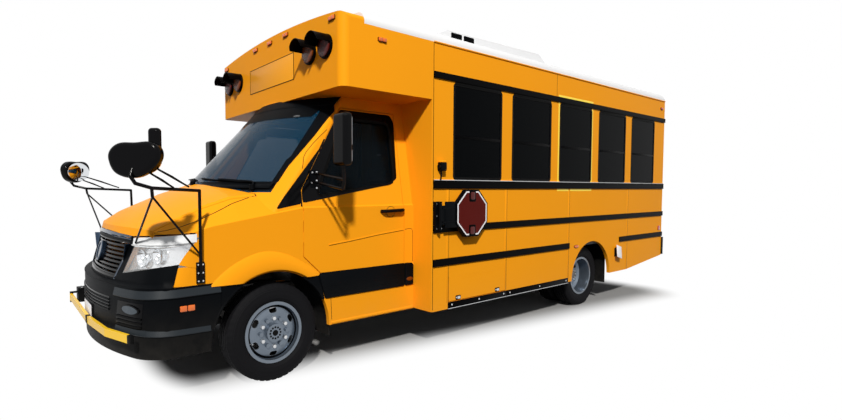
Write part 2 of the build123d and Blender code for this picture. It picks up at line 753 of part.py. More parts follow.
def make_marker_lamps():
    """Clearance, identification and side marker lamps."""
    lamps = []
    for y in (-320, 0, 320):
        lamps.append(block((CAP_FRONT_X, CAP_FRONT_X + 18), (y - 45, y + 45), (2892, 2927)))
        lamps.append(block((BODY_REAR_X - 18, BODY_REAR_X), (y - 45, y + 45), (2800, 2835)))
    left = [
        block((CAP_FRONT_X, CAP_FRONT_X + 18), (1041, 1131), (2838, 2873)),
        block((BODY_REAR_X - 18, BODY_REAR_X), (1041, 1131), (2770, 2805)),
        block((-896, -806), (BODY_HALF, BODY_HALF + 18), (2710, 2745)),
        block((-6286, -6196), (BODY_HALF, BODY_HALF + 18), (2690, 2725)),
        block((-3966, -3866), (BODY_HALF, BODY_HALF + 14), (784, 824)),
        block((-6300, -6225), (BODY_HALF, BODY_HALF + 10), (885, 955)),
    ]
    pieces = [lamp.solid() for lamp in lamps]
    for lamp in left:
        pieces.append(lamp.solid())
        pieces.append(mirrored(lamp).solid())
    return Compound(pieces)


def make_tail_lamps():
    """Round stop, turn and reversing lamps on the rear wall."""
    lamps = []
    for z, radius in ((1450, 88), (1240, 88), (1040, 60)):
        lamps.append(cylinder_x(radius, 960, z, BODY_REAR_X - 30, BODY_REAR_X).solid())
    return both_sides(Compound(lamps))


# ---------------------------------------------------------------- chassis
RAIL_Y = (370.0, 440.0)
RAIL_Z = (520.0, 660.0)
BATTERY_X = (-3320.0, -1530.0)
TOW_EYE_X = -6250.0
TOW_EYE_Z = 470.0
TOW_EYE_RADIUS = 20.0


RAIL_WEB = 8.0
RAIL_X = (BODY_REAR_X + 60.0, 700.0)
CROSS_MEMBER_X = (640.0, -700.0, -1500.0, -3350.0, -5150.0, -6150.0)
SILL_X = (-1500.0, -2600.0, -3400.0, -5300.0, -6200.0)
LIFT_PAD_X = -3000.0
LIFT_PAD = (140.0, 60.0, 12.0)


def make_frame_rails():
    """Two channel rails with a tow eye and a lift pad under each."""
    rail = block(RAIL_X, RAIL_Y, RAIL_Z)
    groove_z = (RAIL_Z[0] + RAIL_WEB, RAIL_Z[1] - RAIL_WEB)
    rail -= block((RAIL_X[0] - 1, RAIL_X[1] + 1), (RAIL_Y[0] - 1, RAIL_Y[1] - RAIL_WEB), groove_z)
    low, high = 394.0, 414.0
    eye = block((TOW_EYE_X - 40, TOW_EYE_X + 60), (low, high), (TOW_EYE_Z - 40, RAIL_Z[0] + RAIL_WEB))
    rail += eye - cylinder_y(TOW_EYE_RADIUS, TOW_EYE_X, TOW_EYE_Z, low - 1, high + 1)
    middle = (RAIL_Y[0] + RAIL_Y[1]) / 2
    length, width, thickness = LIFT_PAD
    rail += Pos(LIFT_PAD_X, middle, RAIL_Z[0] - thickness / 2) * Box(length, width, thickness)
    return both_sides(rail)


def make_cross_members():
    """Ladder cross members, each between the rails' webs."""
    half = RAIL_Y[1] - RAIL_WEB
    z = (RAIL_Z[0] + 30, RAIL_Z[1] - 30)
    return Compound([block((x - 30, x + 30), (-half, half), z).solid() for x in CROSS_MEMBER_X])


def make_body_sills():
    """Sills across the rails that carry the passenger floor."""
    half = BODY_HALF - BODY_WALL - 10
    z = (RAIL_Z[1], FLOOR_TOP_Z - FLOOR_THICKNESS)
    return Compound([block((x - 25, x + 25), (-half, half), z).solid() for x in SILL_X])


def make_battery():
    """Battery pack between the axles."""
    half = RAIL_Y[0] - SEAT
    return block((BATTERY_X[0] + SEAT, BATTERY_X[1] - SEAT), (-half, half), (400, 645))


def make_front_axle():
    """Front beam with an eye for each kingpin, and its springs."""
    beam = block((-35, 35), (-KINGPIN_Y + 60, KINGPIN_Y - 60), (300, 370))
    for side in (-1, 1):
        y = side * KINGPIN_Y
        low, high = sorted((y, y - side * 100))
        beam += block((-33, 33), (low, high), (342, 426))
        beam += cylinder_z(42, 0, y, 334, 434)
        beam += leaf_spring(0, side * 405, 364, 600)
        beam -= cylinder_z(20 + RUNNING_CLEARANCE, 0, y, 300, 460)
    return beam


def leaf_spring(x, y, seat_z, half_length):
    """Bowed leaf spring that stands on an axle seat."""
    top = RAIL_Z[0]
    low_arc = ThreePointArc((x - half_length, top - 36), (x, seat_z), (x + half_length, top - 36))
    high_arc = ThreePointArc((x - half_length, top), (x, seat_z + 44), (x + half_length, top))
    rear_end = Line((x - half_length, top - 36), (x - half_length, top))
    front_end = Line((x + half_length, top - 36), (x + half_length, top))
    return along_y(make_face([low_arc, high_arc, rear_end, front_end]), y - 32, y + 32)


def make_rear_axle():
    """Rear axle tube with the drive motor's round case, and its springs."""
    x = -WHEELBASE
    axle = cylinder_y(52, x, TYRE_RADIUS, -640, 640)
    axle += cylinder_y(150, x, TYRE_RADIUS, -150, 170)
    axle += cylinder_x(120, 0, TYRE_RADIUS, x, x + 330)
    for side in (-1, 1):
        axle += leaf_spring(x, side * 405, TYRE_RADIUS + 40, 620)
        low, high = sorted((side * 630, side * 930))
        axle += cylinder_y(38, x, TYRE_RADIUS, low, high)
    return axle


def make_knuckle_left():
    """Steering knuckle: yoke, kingpin and wheel spindle."""
    y = KINGPIN_Y
    pin = cylinder_z(20, 0, y, 310, 458)
    low = block((-34, 34), (y - 30, y + 78), (304, 328))
    high = block((-34, 34), (y - 30, y + 78), (440, 464))
    back = block((-34, 34), (y + 50, y + 78), (304, 464))
    spindle = cylinder_y(30, 0, TYRE_RADIUS, y + 70, 900)
    arm = block((-170, -20), (y - 20, y + 10), (304, 328))
    return pin + low + high + back + spindle + arm


# ---------------------------------------------------------------- wheels
DISC_THICKNESS = 12.0
DISC_FLAT_RADIUS = 150.0
HAND_HOLE_RADIUS = 172.0


def tyre_section():
    """Half section of a tyre: distance along the axle and radius."""
    half = TYRE_WIDTH / 2
    heel = RIM_FLANGE_RADIUS - 6
    foot = half - 30
    bead = heel + 14
    tread = half - 18
    shoulder = TYRE_RADIUS - 14
    bulge = (bead + shoulder) / 2
    left = ThreePointArc((-foot, bead), (-half, bulge), (-tread - 4, shoulder))
    right = ThreePointArc((foot, bead), (half, bulge), (tread + 4, shoulder))
    crown = tread - 14
    edges = ((-crown, TYRE_RADIUS), (crown, TYRE_RADIUS))
    top = Polyline((-tread - 4, shoulder), *edges, (tread + 4, shoulder))
    bottom = Polyline((-foot, bead), (-foot, heel), (foot, heel), (foot, bead))
    return make_face([left, top, right, bottom])


def spun(face, y):
    """Turn a section (axle distance, radius) about the wheel's axis, at the given Y."""
    return Pos(0, y, TYRE_RADIUS) * revolve(Plane.YZ * face, Axis.Y)


def make_tyre(y):
    """Tyre centred on the given Y at the front axle."""
    return spun(tyre_section(), y)


def make_rim(y, disc, edge, facing, bore):
    """Steel wheel: rim barrel and a dished disc with hand holes."""
    half = TYRE_WIDTH / 2 - 26
    bead = RIM_FLANGE_RADIUS - 6 - SEAT
    inside = RIM_RADIUS - 6
    barrel = polygon(
        (-half - 8, RIM_FLANGE_RADIUS + 4),
        (-half, RIM_FLANGE_RADIUS + 4),
        (-half, bead),
        (half, bead),
        (half, RIM_FLANGE_RADIUS + 4),
        (half + 8, RIM_FLANGE_RADIUS + 4),
        (half + 8, inside),
        (-half - 8, inside),
    )
    wheel = spun(barrel, y)
    thick = facing * DISC_THICKNESS
    plate = polygon(
        (disc, bore),
        (disc, DISC_FLAT_RADIUS),
        (edge, inside + 2),
        (edge + thick, inside + 2),
        (disc + thick, DISC_FLAT_RADIUS),
        (disc + thick, bore),
    )
    wheel += spun(plate, y)
    for index in range(STUD_COUNT):
        angle = 360 / STUD_COUNT * (index + 0.5)
        place = Pos(0, y + disc, TYRE_RADIUS) * Rot(0, angle, 0) * Pos(HAND_HOLE_RADIUS, 0, 0)
        wheel -= place * Rot(90, 0, 0) * extrude(SlotOverall(66, 40, rotation=90), amount=90, both=True)
    return wheel


def front_wheel_rim():
    """Left front wheel: the disc stands out to the rim's face."""
    y = FRONT_TYRE_Y
    bore = 30 + RUNNING_CLEARANCE
    disc = 64
    wheel = make_rim(y, disc, 40, 1, bore)
    flange = cylinder_y(STUD_CIRCLE / 2 + 26, 0, TYRE_RADIUS, y + disc - 18, y + disc)
    hub = cylinder_y(70, 0, TYRE_RADIUS, y - 60, y + 108)
    wheel = wheel + (flange + hub - cylinder_y(bore, 0, TYRE_RADIUS, y - 70, y + 70))
    return wheel + stud_nuts(y + disc + DISC_THICKNESS)


def stud_nuts(face):
    """Ring of wheel nuts standing on a disc's outer face."""
    nuts = None
    for index in range(STUD_COUNT):
        angle = 360 / STUD_COUNT * index
        place = Pos(0, face + 8, TYRE_RADIUS) * Rot(0, angle, 0) * Pos(STUD_CIRCLE / 2, 0, 0)
        nut = place * Rot(90, 0, 0) * Cylinder(16, 22)
        nuts = nut if nuts is None else nuts + nut
    return nuts


def rear_wheel_rims():
    """Left rear pair: two deep wheels bolted disc to disc on one hub."""
    outer = REAR_OUTER_TYRE_Y
    inner = outer - DUAL_SPACING
    bore = 38 + RUNNING_CLEARANCE
    middle = (outer + inner) / 2
    pair = make_rim(outer, middle - outer, -60, 1, bore) + make_rim(inner, middle - inner, 60, -1, bore)
    hub = cylinder_y(88, 0, TYRE_RADIUS, middle - 80, middle + 110)
    pair += hub - cylinder_y(bore, 0, TYRE_RADIUS, middle - 90, middle + 80)
    return pair + stud_nuts(middle + DISC_THICKNESS)


# ---------------------------------------------------------------- inside
STEERING_CENTRE = (-640.0, 430.0, 1350.0)
STEERING_TILT = -60.0       # of the wheel's axis from the vertical, about Y
STEERING_RADIUS = 200.0
COLUMN_RADIUS = 26.0
COLUMN_LENGTH = 202.0


def steering_column(radius):
    """Shaft from the steering wheel's hub down into the dashboard."""
    shaft = Pos(0, 0, -COLUMN_LENGTH / 2) * Cylinder(radius, COLUMN_LENGTH)
    return Pos(*STEERING_CENTRE) * Rot(0, STEERING_TILT, 0) * shaft


def make_dashboard():
    """Dashboard under the windshield, bored for the steering column."""
    profile = polygon(
        (-90, 1060),
        (-90, 1330),
        (300, 1330),
        (300, 1470),
        (-220, 1500),
        (-470, 1400),
        (-480, 1230),
        (-330, 1100),
    )
    half = 880
    space = greenhouse(CAB_WALL + 5) + block((-600, -90), (-half, half), (1000, 1400))
    return (along_y(profile, -half, half) & space) - steering_column(COLUMN_RADIUS + SEAT)


def make_steering_wheel():
    """Steering wheel on its column."""
    span = 2 * STEERING_RADIUS - 10
    wheel = Torus(STEERING_RADIUS, 16) + Cylinder(60, 30)
    wheel += Box(span, 40, 14) + Box(40, span, 14)
    return Pos(*STEERING_CENTRE) * Rot(0, STEERING_TILT, 0) * wheel + steering_column(COLUMN_RADIUS)


def make_driver_seat():
    """Driver's seat on a pedestal."""
    base = block((-1290, -930), (250, 610), (CAB_FLOOR_TOP_Z, 900))
    cushion = block((-1320, -830), (190, 670), (900, 1040))
    back = Pos(-1330, 430, 1370) * Rot(0, -10, 0) * Box(110, 470, 720)
    return base + cushion + back


SEAT_PITCH = 730.0
FIRST_SEAT_X = -2760.0
SEAT_ROWS = 5


def bench(x):
    """One left bench: cushion, high back and pedestal."""
    base = block((x - 380, x - 80), (500, 1100), (FLOOR_TOP_Z, 1200))
    cushion = block((x - 430, x), (260, 1170), (1200, 1320))
    back = polygon((x - 430, 1200), (x - 340, 1200), (x - 440, 1900), (x - 520, 1900))
    return base + cushion + along_y(back, 260, 1170)


def make_passenger_seats():
    """Rows of benches on both sides of the aisle."""
    rows = [bench(FIRST_SEAT_X - index * SEAT_PITCH).solid() for index in range(SEAT_ROWS)]
    return both_sides(Compound(rows))


def make_entrance_leaf(front_leaf):
    """One half of the entrance door, with a tall window."""
    middle = (DOORWAY_FRONT_X + DOORWAY_REAR_X) / 2
    gap = PANEL_GAP
    front_span = (middle + gap / 2, DOORWAY_FRONT_X - gap)
    span = front_span if front_leaf else (DOORWAY_REAR_X + gap, middle - gap / 2)
    y = (-BODY_HALF, -BODY_HALF + BODY_WALL - 5)
    leaf = block(span, y, (STEP_Z - 40, DOORWAY_TOP_Z - gap))
    window = rounded((span[0] + 60, 1000), (span[1] - 60, DOORWAY_TOP_Z - 90), 40)
    low = rounded((span[0] + 60, STEP_Z + 60), (span[1] - 60, 930), 40)
    return leaf - along_y(window, y[0] - 1, y[1] + 1) - along_y(low, y[0] - 1, y[1] + 1)


def make_entrance_glass(front_leaf):
    """Glass of one entrance leaf."""
    middle = (DOORWAY_FRONT_X + DOORWAY_REAR_X) / 2
    gap = PANEL_GAP
    front_span = (middle + gap / 2, DOORWAY_FRONT_X - gap)
    span = front_span if front_leaf else (DOORWAY_REAR_X + gap, middle - gap / 2)
    window = rounded((span[0] + 60, 1000), (span[1] - 60, DOORWAY_TOP_Z - 90), 40)
    low = rounded((span[0] + 60, STEP_Z + 60), (span[1] - 60, 930), 40)
    y = -BODY_HALF + 8
    return Compound([along_y(window, y, y + GLASS).solid(), along_y(low, y, y + GLASS).solid()])


def make_hatch():
    """Luggage hatch in the left skirt, hinged along its top edge."""
    gap = PANEL_GAP
    z = (HATCH_Z[0] + gap, HATCH_Z[1] - SEAT)
    return block((HATCH_X[0] + gap, HATCH_X[1] - gap), (BODY_HALF - BODY_WALL, BODY_HALF), z)


def make_wheel_liners():
    """Inner arches over the front wheels with their mud flaps, and the rear mud flaps."""
    inside = FRONT_ARCH_RADIUS + 3
    shell = cylinder_y(inside + 6, 0, ARCH_Z, 490, CAB_HALF - CAB_WALL - SEAT)
    shell -= cylinder_y(inside, 0, ARCH_Z, 480, 950)
    shell &= block((-600, 600), (400, 1000), (ARCH_Z + 60, 1000))
    front = block((-inside - 8, -inside + 4), (700, 940), (270, 600))
    flap_top = FLOOR_TOP_Z - FLOOR_THICKNESS
    rear_flap = block((-WHEELBASE - 480, -WHEELBASE - 468), (640, 1150), (250, flap_top))
    liner = (shell + front).solid()
    return both_sides(Compound([liner, rear_flap.solid()]))


# ---------------------------------------------------------------- writing the nodes
def rear(shape):
    """Move a wheel built at the front axle to the rear axle."""
    return Pos(-WHEELBASE, 0, 0) * shape


def all_nodes():
    """Every node's name with its shape, in places measured from the front axle."""
    door = make_door_left()
    door_glass = make_door_glass_left()
    mirror_left = make_door_mirror_left()
    knuckle = make_knuckle_left()
    front_rim = front_wheel_rim()
    front_tyre = make_tyre(FRONT_TYRE_Y)
    rear_rims = rear(rear_wheel_rims())
    outer_tyre = make_tyre(REAR_OUTER_TYRE_Y)
    inner_tyre = make_tyre(REAR_OUTER_TYRE_Y - DUAL_SPACING)
    rear_tyres = rear(Compound([outer_tyre.solid(), inner_tyre.solid()]))
    return {
        "frame_rails": make_frame_rails(),
        "cross_members": make_cross_members(),
        "body_sills": make_body_sills(),
        "battery_pack": make_battery(),
        "front_axle": make_front_axle(),
        "rear_axle": make_rear_axle(),
        "cab_shell": make_cab_shell(),
        "front_fenders": make_fenders(),
        "hood": make_hood(),
        "windshield": make_windshield(),
        "headlamps": make_headlamps(),
        "grille": make_grille(),
        "front_bumper": make_front_bumper(),
        "cab_floor": make_cab_floor(),
        "cab_door_left": door,
        "cab_door_right": mirrored(door),
        "cab_door_glass_left": door_glass,
        "cab_door_glass_right": mirrored(door_glass),
        "door_mirror_left": mirror_left,
        "door_mirror_right": mirrored(mirror_left),
        "cross_view_mirrors": make_cross_view_mirrors(),
        "body_side_left": make_side_left(),
        "body_side_right": make_side_right(),
        "body_glass": make_body_glass(),
        "body_roof": make_roof(),
        "rear_wall": make_rear_wall(),
        "rear_door": make_rear_door(),
        "rear_door_glass": make_rear_door_glass(),
        "body_floor": make_floor(),
        "roof_cap": make_roof_cap(),
        "rub_rails": make_rub_rails(),
        "rear_bumper": make_rear_bumper(),
        "roof_unit": make_roof_unit(),
        "arm_brackets": Compound([make_stop_bracket().solid(), make_crossing_bracket().solid()]),
        "stop_arm": make_stop_arm(),
        "crossing_arm": make_crossing_arm(),
        "warning_lamps": make_warning_lamps(),
        "marker_lamps": Compound(make_marker_lamps().solids() + make_tail_lamps().solids()),
        "entrance_leaf_front": make_entrance_leaf(True),
        "entrance_leaf_rear": make_entrance_leaf(False),
        "entrance_glass_front": make_entrance_glass(True),
        "entrance_glass_rear": make_entrance_glass(False),
        "side_hatch": make_hatch(),
        "wheel_liners": make_wheel_liners(),
        "dashboard": make_dashboard(),
        "steering_wheel": make_steering_wheel(),
        "seats": Compound(make_passenger_seats().solids() + [make_driver_seat().solid()]),
        "knuckle_left": knuckle,
        "knuckle_right": mirrored(knuckle),
        "front_rim_left": front_rim,
        "front_rim_right": mirrored(front_rim),
        "front_tyre_left": front_tyre,
        "front_tyre_right": mirrored(front_tyre),
        "rear_rims_left": rear_rims,
        "rear_rims_right": mirrored(rear_rims),
        "rear_tyres_left": rear_tyres,
        "rear_tyres_right": mirrored(rear_tyres),
    }


def main():
    """Write one STEP file for each node."""
    os.makedirs("parts", exist_ok=True)
    for name, shape in all_nodes().items():
        placed = Pos(FRONT_AXLE_X, 0, 0) * shape
        solids = placed.solids()
        export_step(solids[0] if len(solids) == 1 else Compound(list(solids)), f"parts/{name}.step")


main()
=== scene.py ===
"""Finishes and fine parts of a battery-electric school bus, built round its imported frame.

Metres.  Places are measured from the front axle: x forward, y to the left, z up from the ground.
Each piece is moved to the frame's own origin when it is finished.
"""
import json
import logging
import math
from dataclasses import dataclass
from enum import Enum
from typing import Iterable, Sequence

import bmesh
import bpy
from mathutils import Matrix, Vector
from mathutils.bvhtree import BVHTree

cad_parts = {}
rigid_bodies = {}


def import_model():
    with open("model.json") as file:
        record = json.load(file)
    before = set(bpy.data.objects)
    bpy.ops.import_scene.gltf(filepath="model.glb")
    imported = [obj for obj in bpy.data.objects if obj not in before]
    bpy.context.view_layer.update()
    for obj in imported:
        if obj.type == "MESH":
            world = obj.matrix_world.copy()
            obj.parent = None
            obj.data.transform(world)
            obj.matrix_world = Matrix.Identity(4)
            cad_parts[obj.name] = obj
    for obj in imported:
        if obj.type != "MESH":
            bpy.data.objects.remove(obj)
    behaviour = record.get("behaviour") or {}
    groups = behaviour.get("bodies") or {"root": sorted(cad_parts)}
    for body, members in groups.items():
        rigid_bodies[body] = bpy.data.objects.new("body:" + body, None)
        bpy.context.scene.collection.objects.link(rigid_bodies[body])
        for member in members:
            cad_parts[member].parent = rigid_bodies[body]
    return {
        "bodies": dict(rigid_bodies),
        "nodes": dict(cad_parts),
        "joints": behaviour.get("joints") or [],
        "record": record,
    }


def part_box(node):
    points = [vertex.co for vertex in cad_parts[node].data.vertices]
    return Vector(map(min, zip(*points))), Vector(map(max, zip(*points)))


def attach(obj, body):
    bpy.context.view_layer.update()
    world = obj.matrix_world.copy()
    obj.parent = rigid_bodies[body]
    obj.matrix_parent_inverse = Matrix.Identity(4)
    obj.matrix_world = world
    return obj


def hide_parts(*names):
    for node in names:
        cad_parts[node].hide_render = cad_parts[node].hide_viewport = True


LOG = logging.getLogger("school_bus")
Point = Sequence[float]
Outline = list[tuple[float, float]]
REARWARD = (-1.0, 0.0, 0.0)
FAR = 2.0  # where points start that are thrown onto the bus, well outside it


class Axis(Enum):
    """Direction of an extrusion or of a turned shape."""

    X = 0
    Y = 1
    Z = 2


class Grain(Enum):
    """Fine relief of a surface."""

    FLOW = "paint_flow"
    MOULDED = "moulded_grain"
    BRUSHED = "brushed_lines"
    CELLS = "sheeting_cells"
    RIBS = "lens_ribs"


# ---------------------------------------------------------------- shader groups
def wired(tree: bpy.types.NodeTree, kind: str, inputs: dict | None = None, **settings: object) -> bpy.types.Node:
    """Adds a shader node with its settings, values and links.

    Args:
        tree: Tree that gets the node.
        kind: The node's type without its ShaderNode prefix.
        inputs: A value, or a socket to link from, for each input by name or number.
        **settings: The node's own properties.

    Returns:
        The node.
    """
    node = tree.nodes.new(f"ShaderNode{kind}")
    for name, value in settings.items():
        setattr(node, name, value)
    for name, value in (inputs or {}).items():
        if isinstance(value, bpy.types.NodeSocket):
            tree.links.new(value, node.inputs[name])
        else:
            node.inputs[name].default_value = value
    return node


def sums(tree: bpy.types.NodeTree, operation: str, *values: object, clamp: bool = False) -> bpy.types.NodeSocket:
    """Output of one arithmetic node."""
    return wired(tree, "Math", dict(enumerate(values)), operation=operation, use_clamp=clamp).outputs[0]


class Effects:
    """Shader groups that the finishes share, each built once."""

    def __init__(self) -> None:
        """Builds every group."""
        self.groups: dict[str, bpy.types.NodeTree] = {}
        self._colour_drift()
        self._road_dust()
        self._edge_wear()
        for name, stretch, detail in (("slow_wave", 1.0, 0.0), (Grain.FLOW.value, 1.0, 2.0),
                                      (Grain.BRUSHED.value, 40.0, 4.0)):
            tree, start, end = self._group(name, {"Size": 0.002}, "Height")
            tree.links.new(self._noise(tree, start, stretch, detail), end.inputs["Height"])
        self._texture(Grain.MOULDED, "TexVoronoi", "Distance", {"Randomness": 1.0}, feature="F1")
        self._texture(Grain.CELLS, "TexVoronoi", "Distance", {"Randomness": 0.0}, feature="DISTANCE_TO_EDGE")
        self._texture(Grain.RIBS, "TexWave", "Fac", {}, bands_direction="Y")

    def use(self, tree: bpy.types.NodeTree, name: str, inputs: dict[str, object]) -> bpy.types.NodeSocket:
        """Puts a group into a material and gives its output."""
        return wired(tree, "Group", inputs, node_tree=self.groups[name]).outputs[0]

    def _group(self, name: str, inputs: dict[str, object], output: str) -> tuple:
        """Starts a node group.

        Args:
            name: Name of the group.
            inputs: Default of each input by its name.
            output: Name of its output.

        Returns:
            The tree, its input node and its output node.
        """
        tree = bpy.data.node_groups.new(name, "ShaderNodeTree")
        kinds = {"Colour": "NodeSocketColor"}
        for label, default in inputs.items():
            socket = tree.interface.new_socket(name=label, in_out="INPUT",
                                               socket_type=kinds.get(label, "NodeSocketFloat"))
            socket.default_value = default
        tree.interface.new_socket(name=output, in_out="OUTPUT", socket_type=kinds.get(output, "NodeSocketFloat"))
        self.groups[name] = tree
        return tree, tree.nodes.new("NodeGroupInput"), tree.nodes.new("NodeGroupOutput")

    @staticmethod
    def _noise(tree: bpy.types.NodeTree, start: bpy.types.Node, stretch: float, detail: float) -> bpy.types.NodeSocket:
        """Noise over the piece's own coordinates, in patches as wide as the group's size.

        Args:
            tree: Tree that gets the nodes.
            start: The group's inputs.
            stretch: How much finer the noise is across the piece's length.
            detail: Octaves of the noise.

        Returns:
            The noise's socket.
        """
        place = wired(tree, "TexCoord").outputs["Object"]
        place = wired(tree, "Mapping", {"Vector": place, "Scale": (1.0, stretch, stretch)}).outputs["Vector"]
        fine = sums(tree, "DIVIDE", 1.0, start.outputs["Size"])
        return wired(tree, "TexNoise", {"Vector": place, "Scale": fine, "Detail": detail}).outputs["Fac"]

    def _colour_drift(self) -> None:
        """Colour that varies a little in soft patches."""
        tree, start, end = self._group("colour_drift", {"Colour": (0.5, 0.5, 0.5, 1.0), "Amount": 0.05, "Size": 0.5},
                                       "Colour")
        swing = sums(tree, "SUBTRACT", self._noise(tree, start, 1.0, 3.0), 0.5)
        gain = sums(tree, "ADD", sums(tree, "MULTIPLY", swing, start.outputs["Amount"]), 1.0)
        tint = wired(tree, "VectorMath", {0: start.outputs["Colour"], "Scale": gain}, operation="SCALE")
        tree.links.new(tint.outputs["Vector"], end.inputs["Colour"])

    def _broken_mask(self, parts: tuple, mask: bpy.types.NodeSocket, detail: float) -> None:
        """Ends a mask group: the mask, broken up by noise, times the group's amount.

        Args:
            parts: The group's tree, input node and output node.
            mask: The even mask.
            detail: Octaves of the noise.
        """
        tree, start, end = parts
        broken = sums(tree, "MULTIPLY", mask, self._noise(tree, start, 1.0, detail))
        tree.links.new(sums(tree, "MULTIPLY", broken, start.outputs["Amount"], clamp=True), end.inputs["Mask"])

    def _road_dust(self) -> None:
        """Mask of dust that thickens towards the ground."""
        parts = self._group("road_dust", {"Amount": 0.3, "Top": 0.9, "Size": 0.08}, "Mask")
        tree, start, _ = parts
        place = wired(tree, "SeparateXYZ", {0: wired(tree, "TexCoord").outputs["Object"]})
        height = wired(tree, "MapRange", {"Value": place.outputs["Z"], "From Min": 0.0, "To Min": 1.0, "To Max": 0.0,
                                          "From Max": start.outputs["Top"]}, interpolation_type="SMOOTHSTEP")
        self._broken_mask(parts, height.outputs["Result"], 5.0)

    def _edge_wear(self) -> None:
        """Mask of rubbed, brighter edges."""
        parts = self._group("edge_wear", {"Amount": 0.2, "Size": 0.01}, "Mask")
        point = wired(parts[0], "NewGeometry").outputs["Pointiness"]
        edge = wired(parts[0], "MapRange", {"Value": point, "From Min": 0.52, "From Max": 0.62})
        self._broken_mask(parts, edge.outputs["Result"], 2.0)

    def _texture(self, grain: Grain, kind: str, output: str, inputs: dict, **settings: object) -> None:
        """Fine relief from one texture node.

        Args:
            grain: Grain that the group stands for.
            kind: Type of the texture node.
            output: Socket that gives the height.
            inputs: Its other inputs.
            **settings: Its own properties.
        """
        tree, start, end = self._group(grain.value, {"Size": 0.002}, "Height")
        place = wired(tree, "TexCoord").outputs["Object"]
        fine = sums(tree, "DIVIDE", 1.0, start.outputs["Size"])
        texture = wired(tree, kind, {"Vector": place, "Scale": fine, **inputs}, **settings)
        tree.links.new(texture.outputs[output], end.inputs["Height"])


# ---------------------------------------------------------------- finishes
DUST_COLOUR = (0.33, 0.30, 0.26, 1.0)
WORN_COLOUR = (0.42, 0.42, 0.41, 1.0)


@dataclass(frozen=True)
class Finish:
    """One surface finish: its plain values and the strength of each shared effect.

    The grain is given as its kind, the size of one cell and its depth.
    """

    name: str
    slot: str
    colour: tuple[float, float, float]
    roughness: float
    metallic: float = 0.0
    specular: float = 0.5
    coat: float = 0.0
    coat_roughness: float = 0.04
    alpha: float = 1.0
    transmission: float = 0.0
    ior: float = 1.5
    sheen: float = 0.0
    glow: float = 0.0
    drift: float = 0.05
    drift_size: float = 0.5
    grain: tuple[Grain, float, float] | None = None
    wave_depth: float = 0.0
    dust: float = 0.0
    dust_top: float = 0.9
    wear: float = 0.0

    def build(self, effects: Effects) -> bpy.types.Material:
        """Makes the material.

        Args:
            effects: The shared shader groups.

        Returns:
            The material.
        """
        material = bpy.data.materials.new(self.name)
        material.use_nodes = True
        tree = material.node_tree
        shader = tree.nodes["Principled BSDF"]
        plain = {
            "Metallic": self.metallic,
            "Specular IOR Level": self.specular,
            "Coat Weight": self.coat,
            "Coat Roughness": self.coat_roughness,
            "Alpha": self.alpha,
            "Transmission Weight": self.transmission,
            "IOR": self.ior,
            "Sheen Weight": self.sheen,
            "Roughness": self.roughness,
        }
        for socket, value in plain.items():
            shader.inputs[socket].default_value = value
        if self.glow:
            shader.inputs["Emission Color"].default_value = (*self.colour, 1.0)
            shader.inputs["Emission Strength"].default_value = self.glow
        drift = {"Colour": (*self.colour, 1.0), "Amount": self.drift, "Size": self.drift_size}
        colour = effects.use(tree, "colour_drift", drift)
        if self.wear:
            colour = self._covered(tree, effects.use(tree, "edge_wear", {"Amount": self.wear}), colour, WORN_COLOUR)
        if self.dust:
            dust = effects.use(tree, "road_dust", {"Amount": self.dust, "Top": self.dust_top})
            colour = self._covered(tree, dust, colour, DUST_COLOUR)
        tree.links.new(colour, shader.inputs["Base Color"])
        self._relief(tree, effects, shader)
        return material

    @staticmethod
    def _covered(tree: bpy.types.NodeTree, mask: bpy.types.NodeSocket, colour: bpy.types.NodeSocket,
                 over: tuple) -> bpy.types.NodeSocket:
        """Lays a second colour over the first where a mask says.

        Args:
            tree: The material's tree.
            mask: Socket of the mask.
            colour: Socket of the colour underneath.
            over: The colour on top.

        Returns:
            The socket that gives the mixed colour.
        """
        mix = wired(tree, "Mix", {"B": over, "Factor": mask, "A": colour}, data_type="RGBA")
        return mix.outputs["Result"]

    def _relief(self, tree: bpy.types.NodeTree, effects: Effects, shader: bpy.types.Node) -> None:
        """Feeds the fine grain and the slow waves to the shader's normal.

        Args:
            tree: The material's tree.
            effects: The shared shader groups.
            shader: The material's Principled shader.
        """
        layers = [("slow_wave", 0.7, self.wave_depth)] if self.wave_depth else []
        if self.grain:
            layers.append((self.grain[0].value, *self.grain[1:]))
        below = {}
        for group, size, depth in layers:
            height = effects.use(tree, group, {"Size": size})
            normal = wired(tree, "Bump", {"Distance": depth, "Height": height, **below}).outputs["Normal"]
            below = {"Normal": normal}
        for normal in below.values():
            tree.links.new(normal, shader.inputs["Normal"])


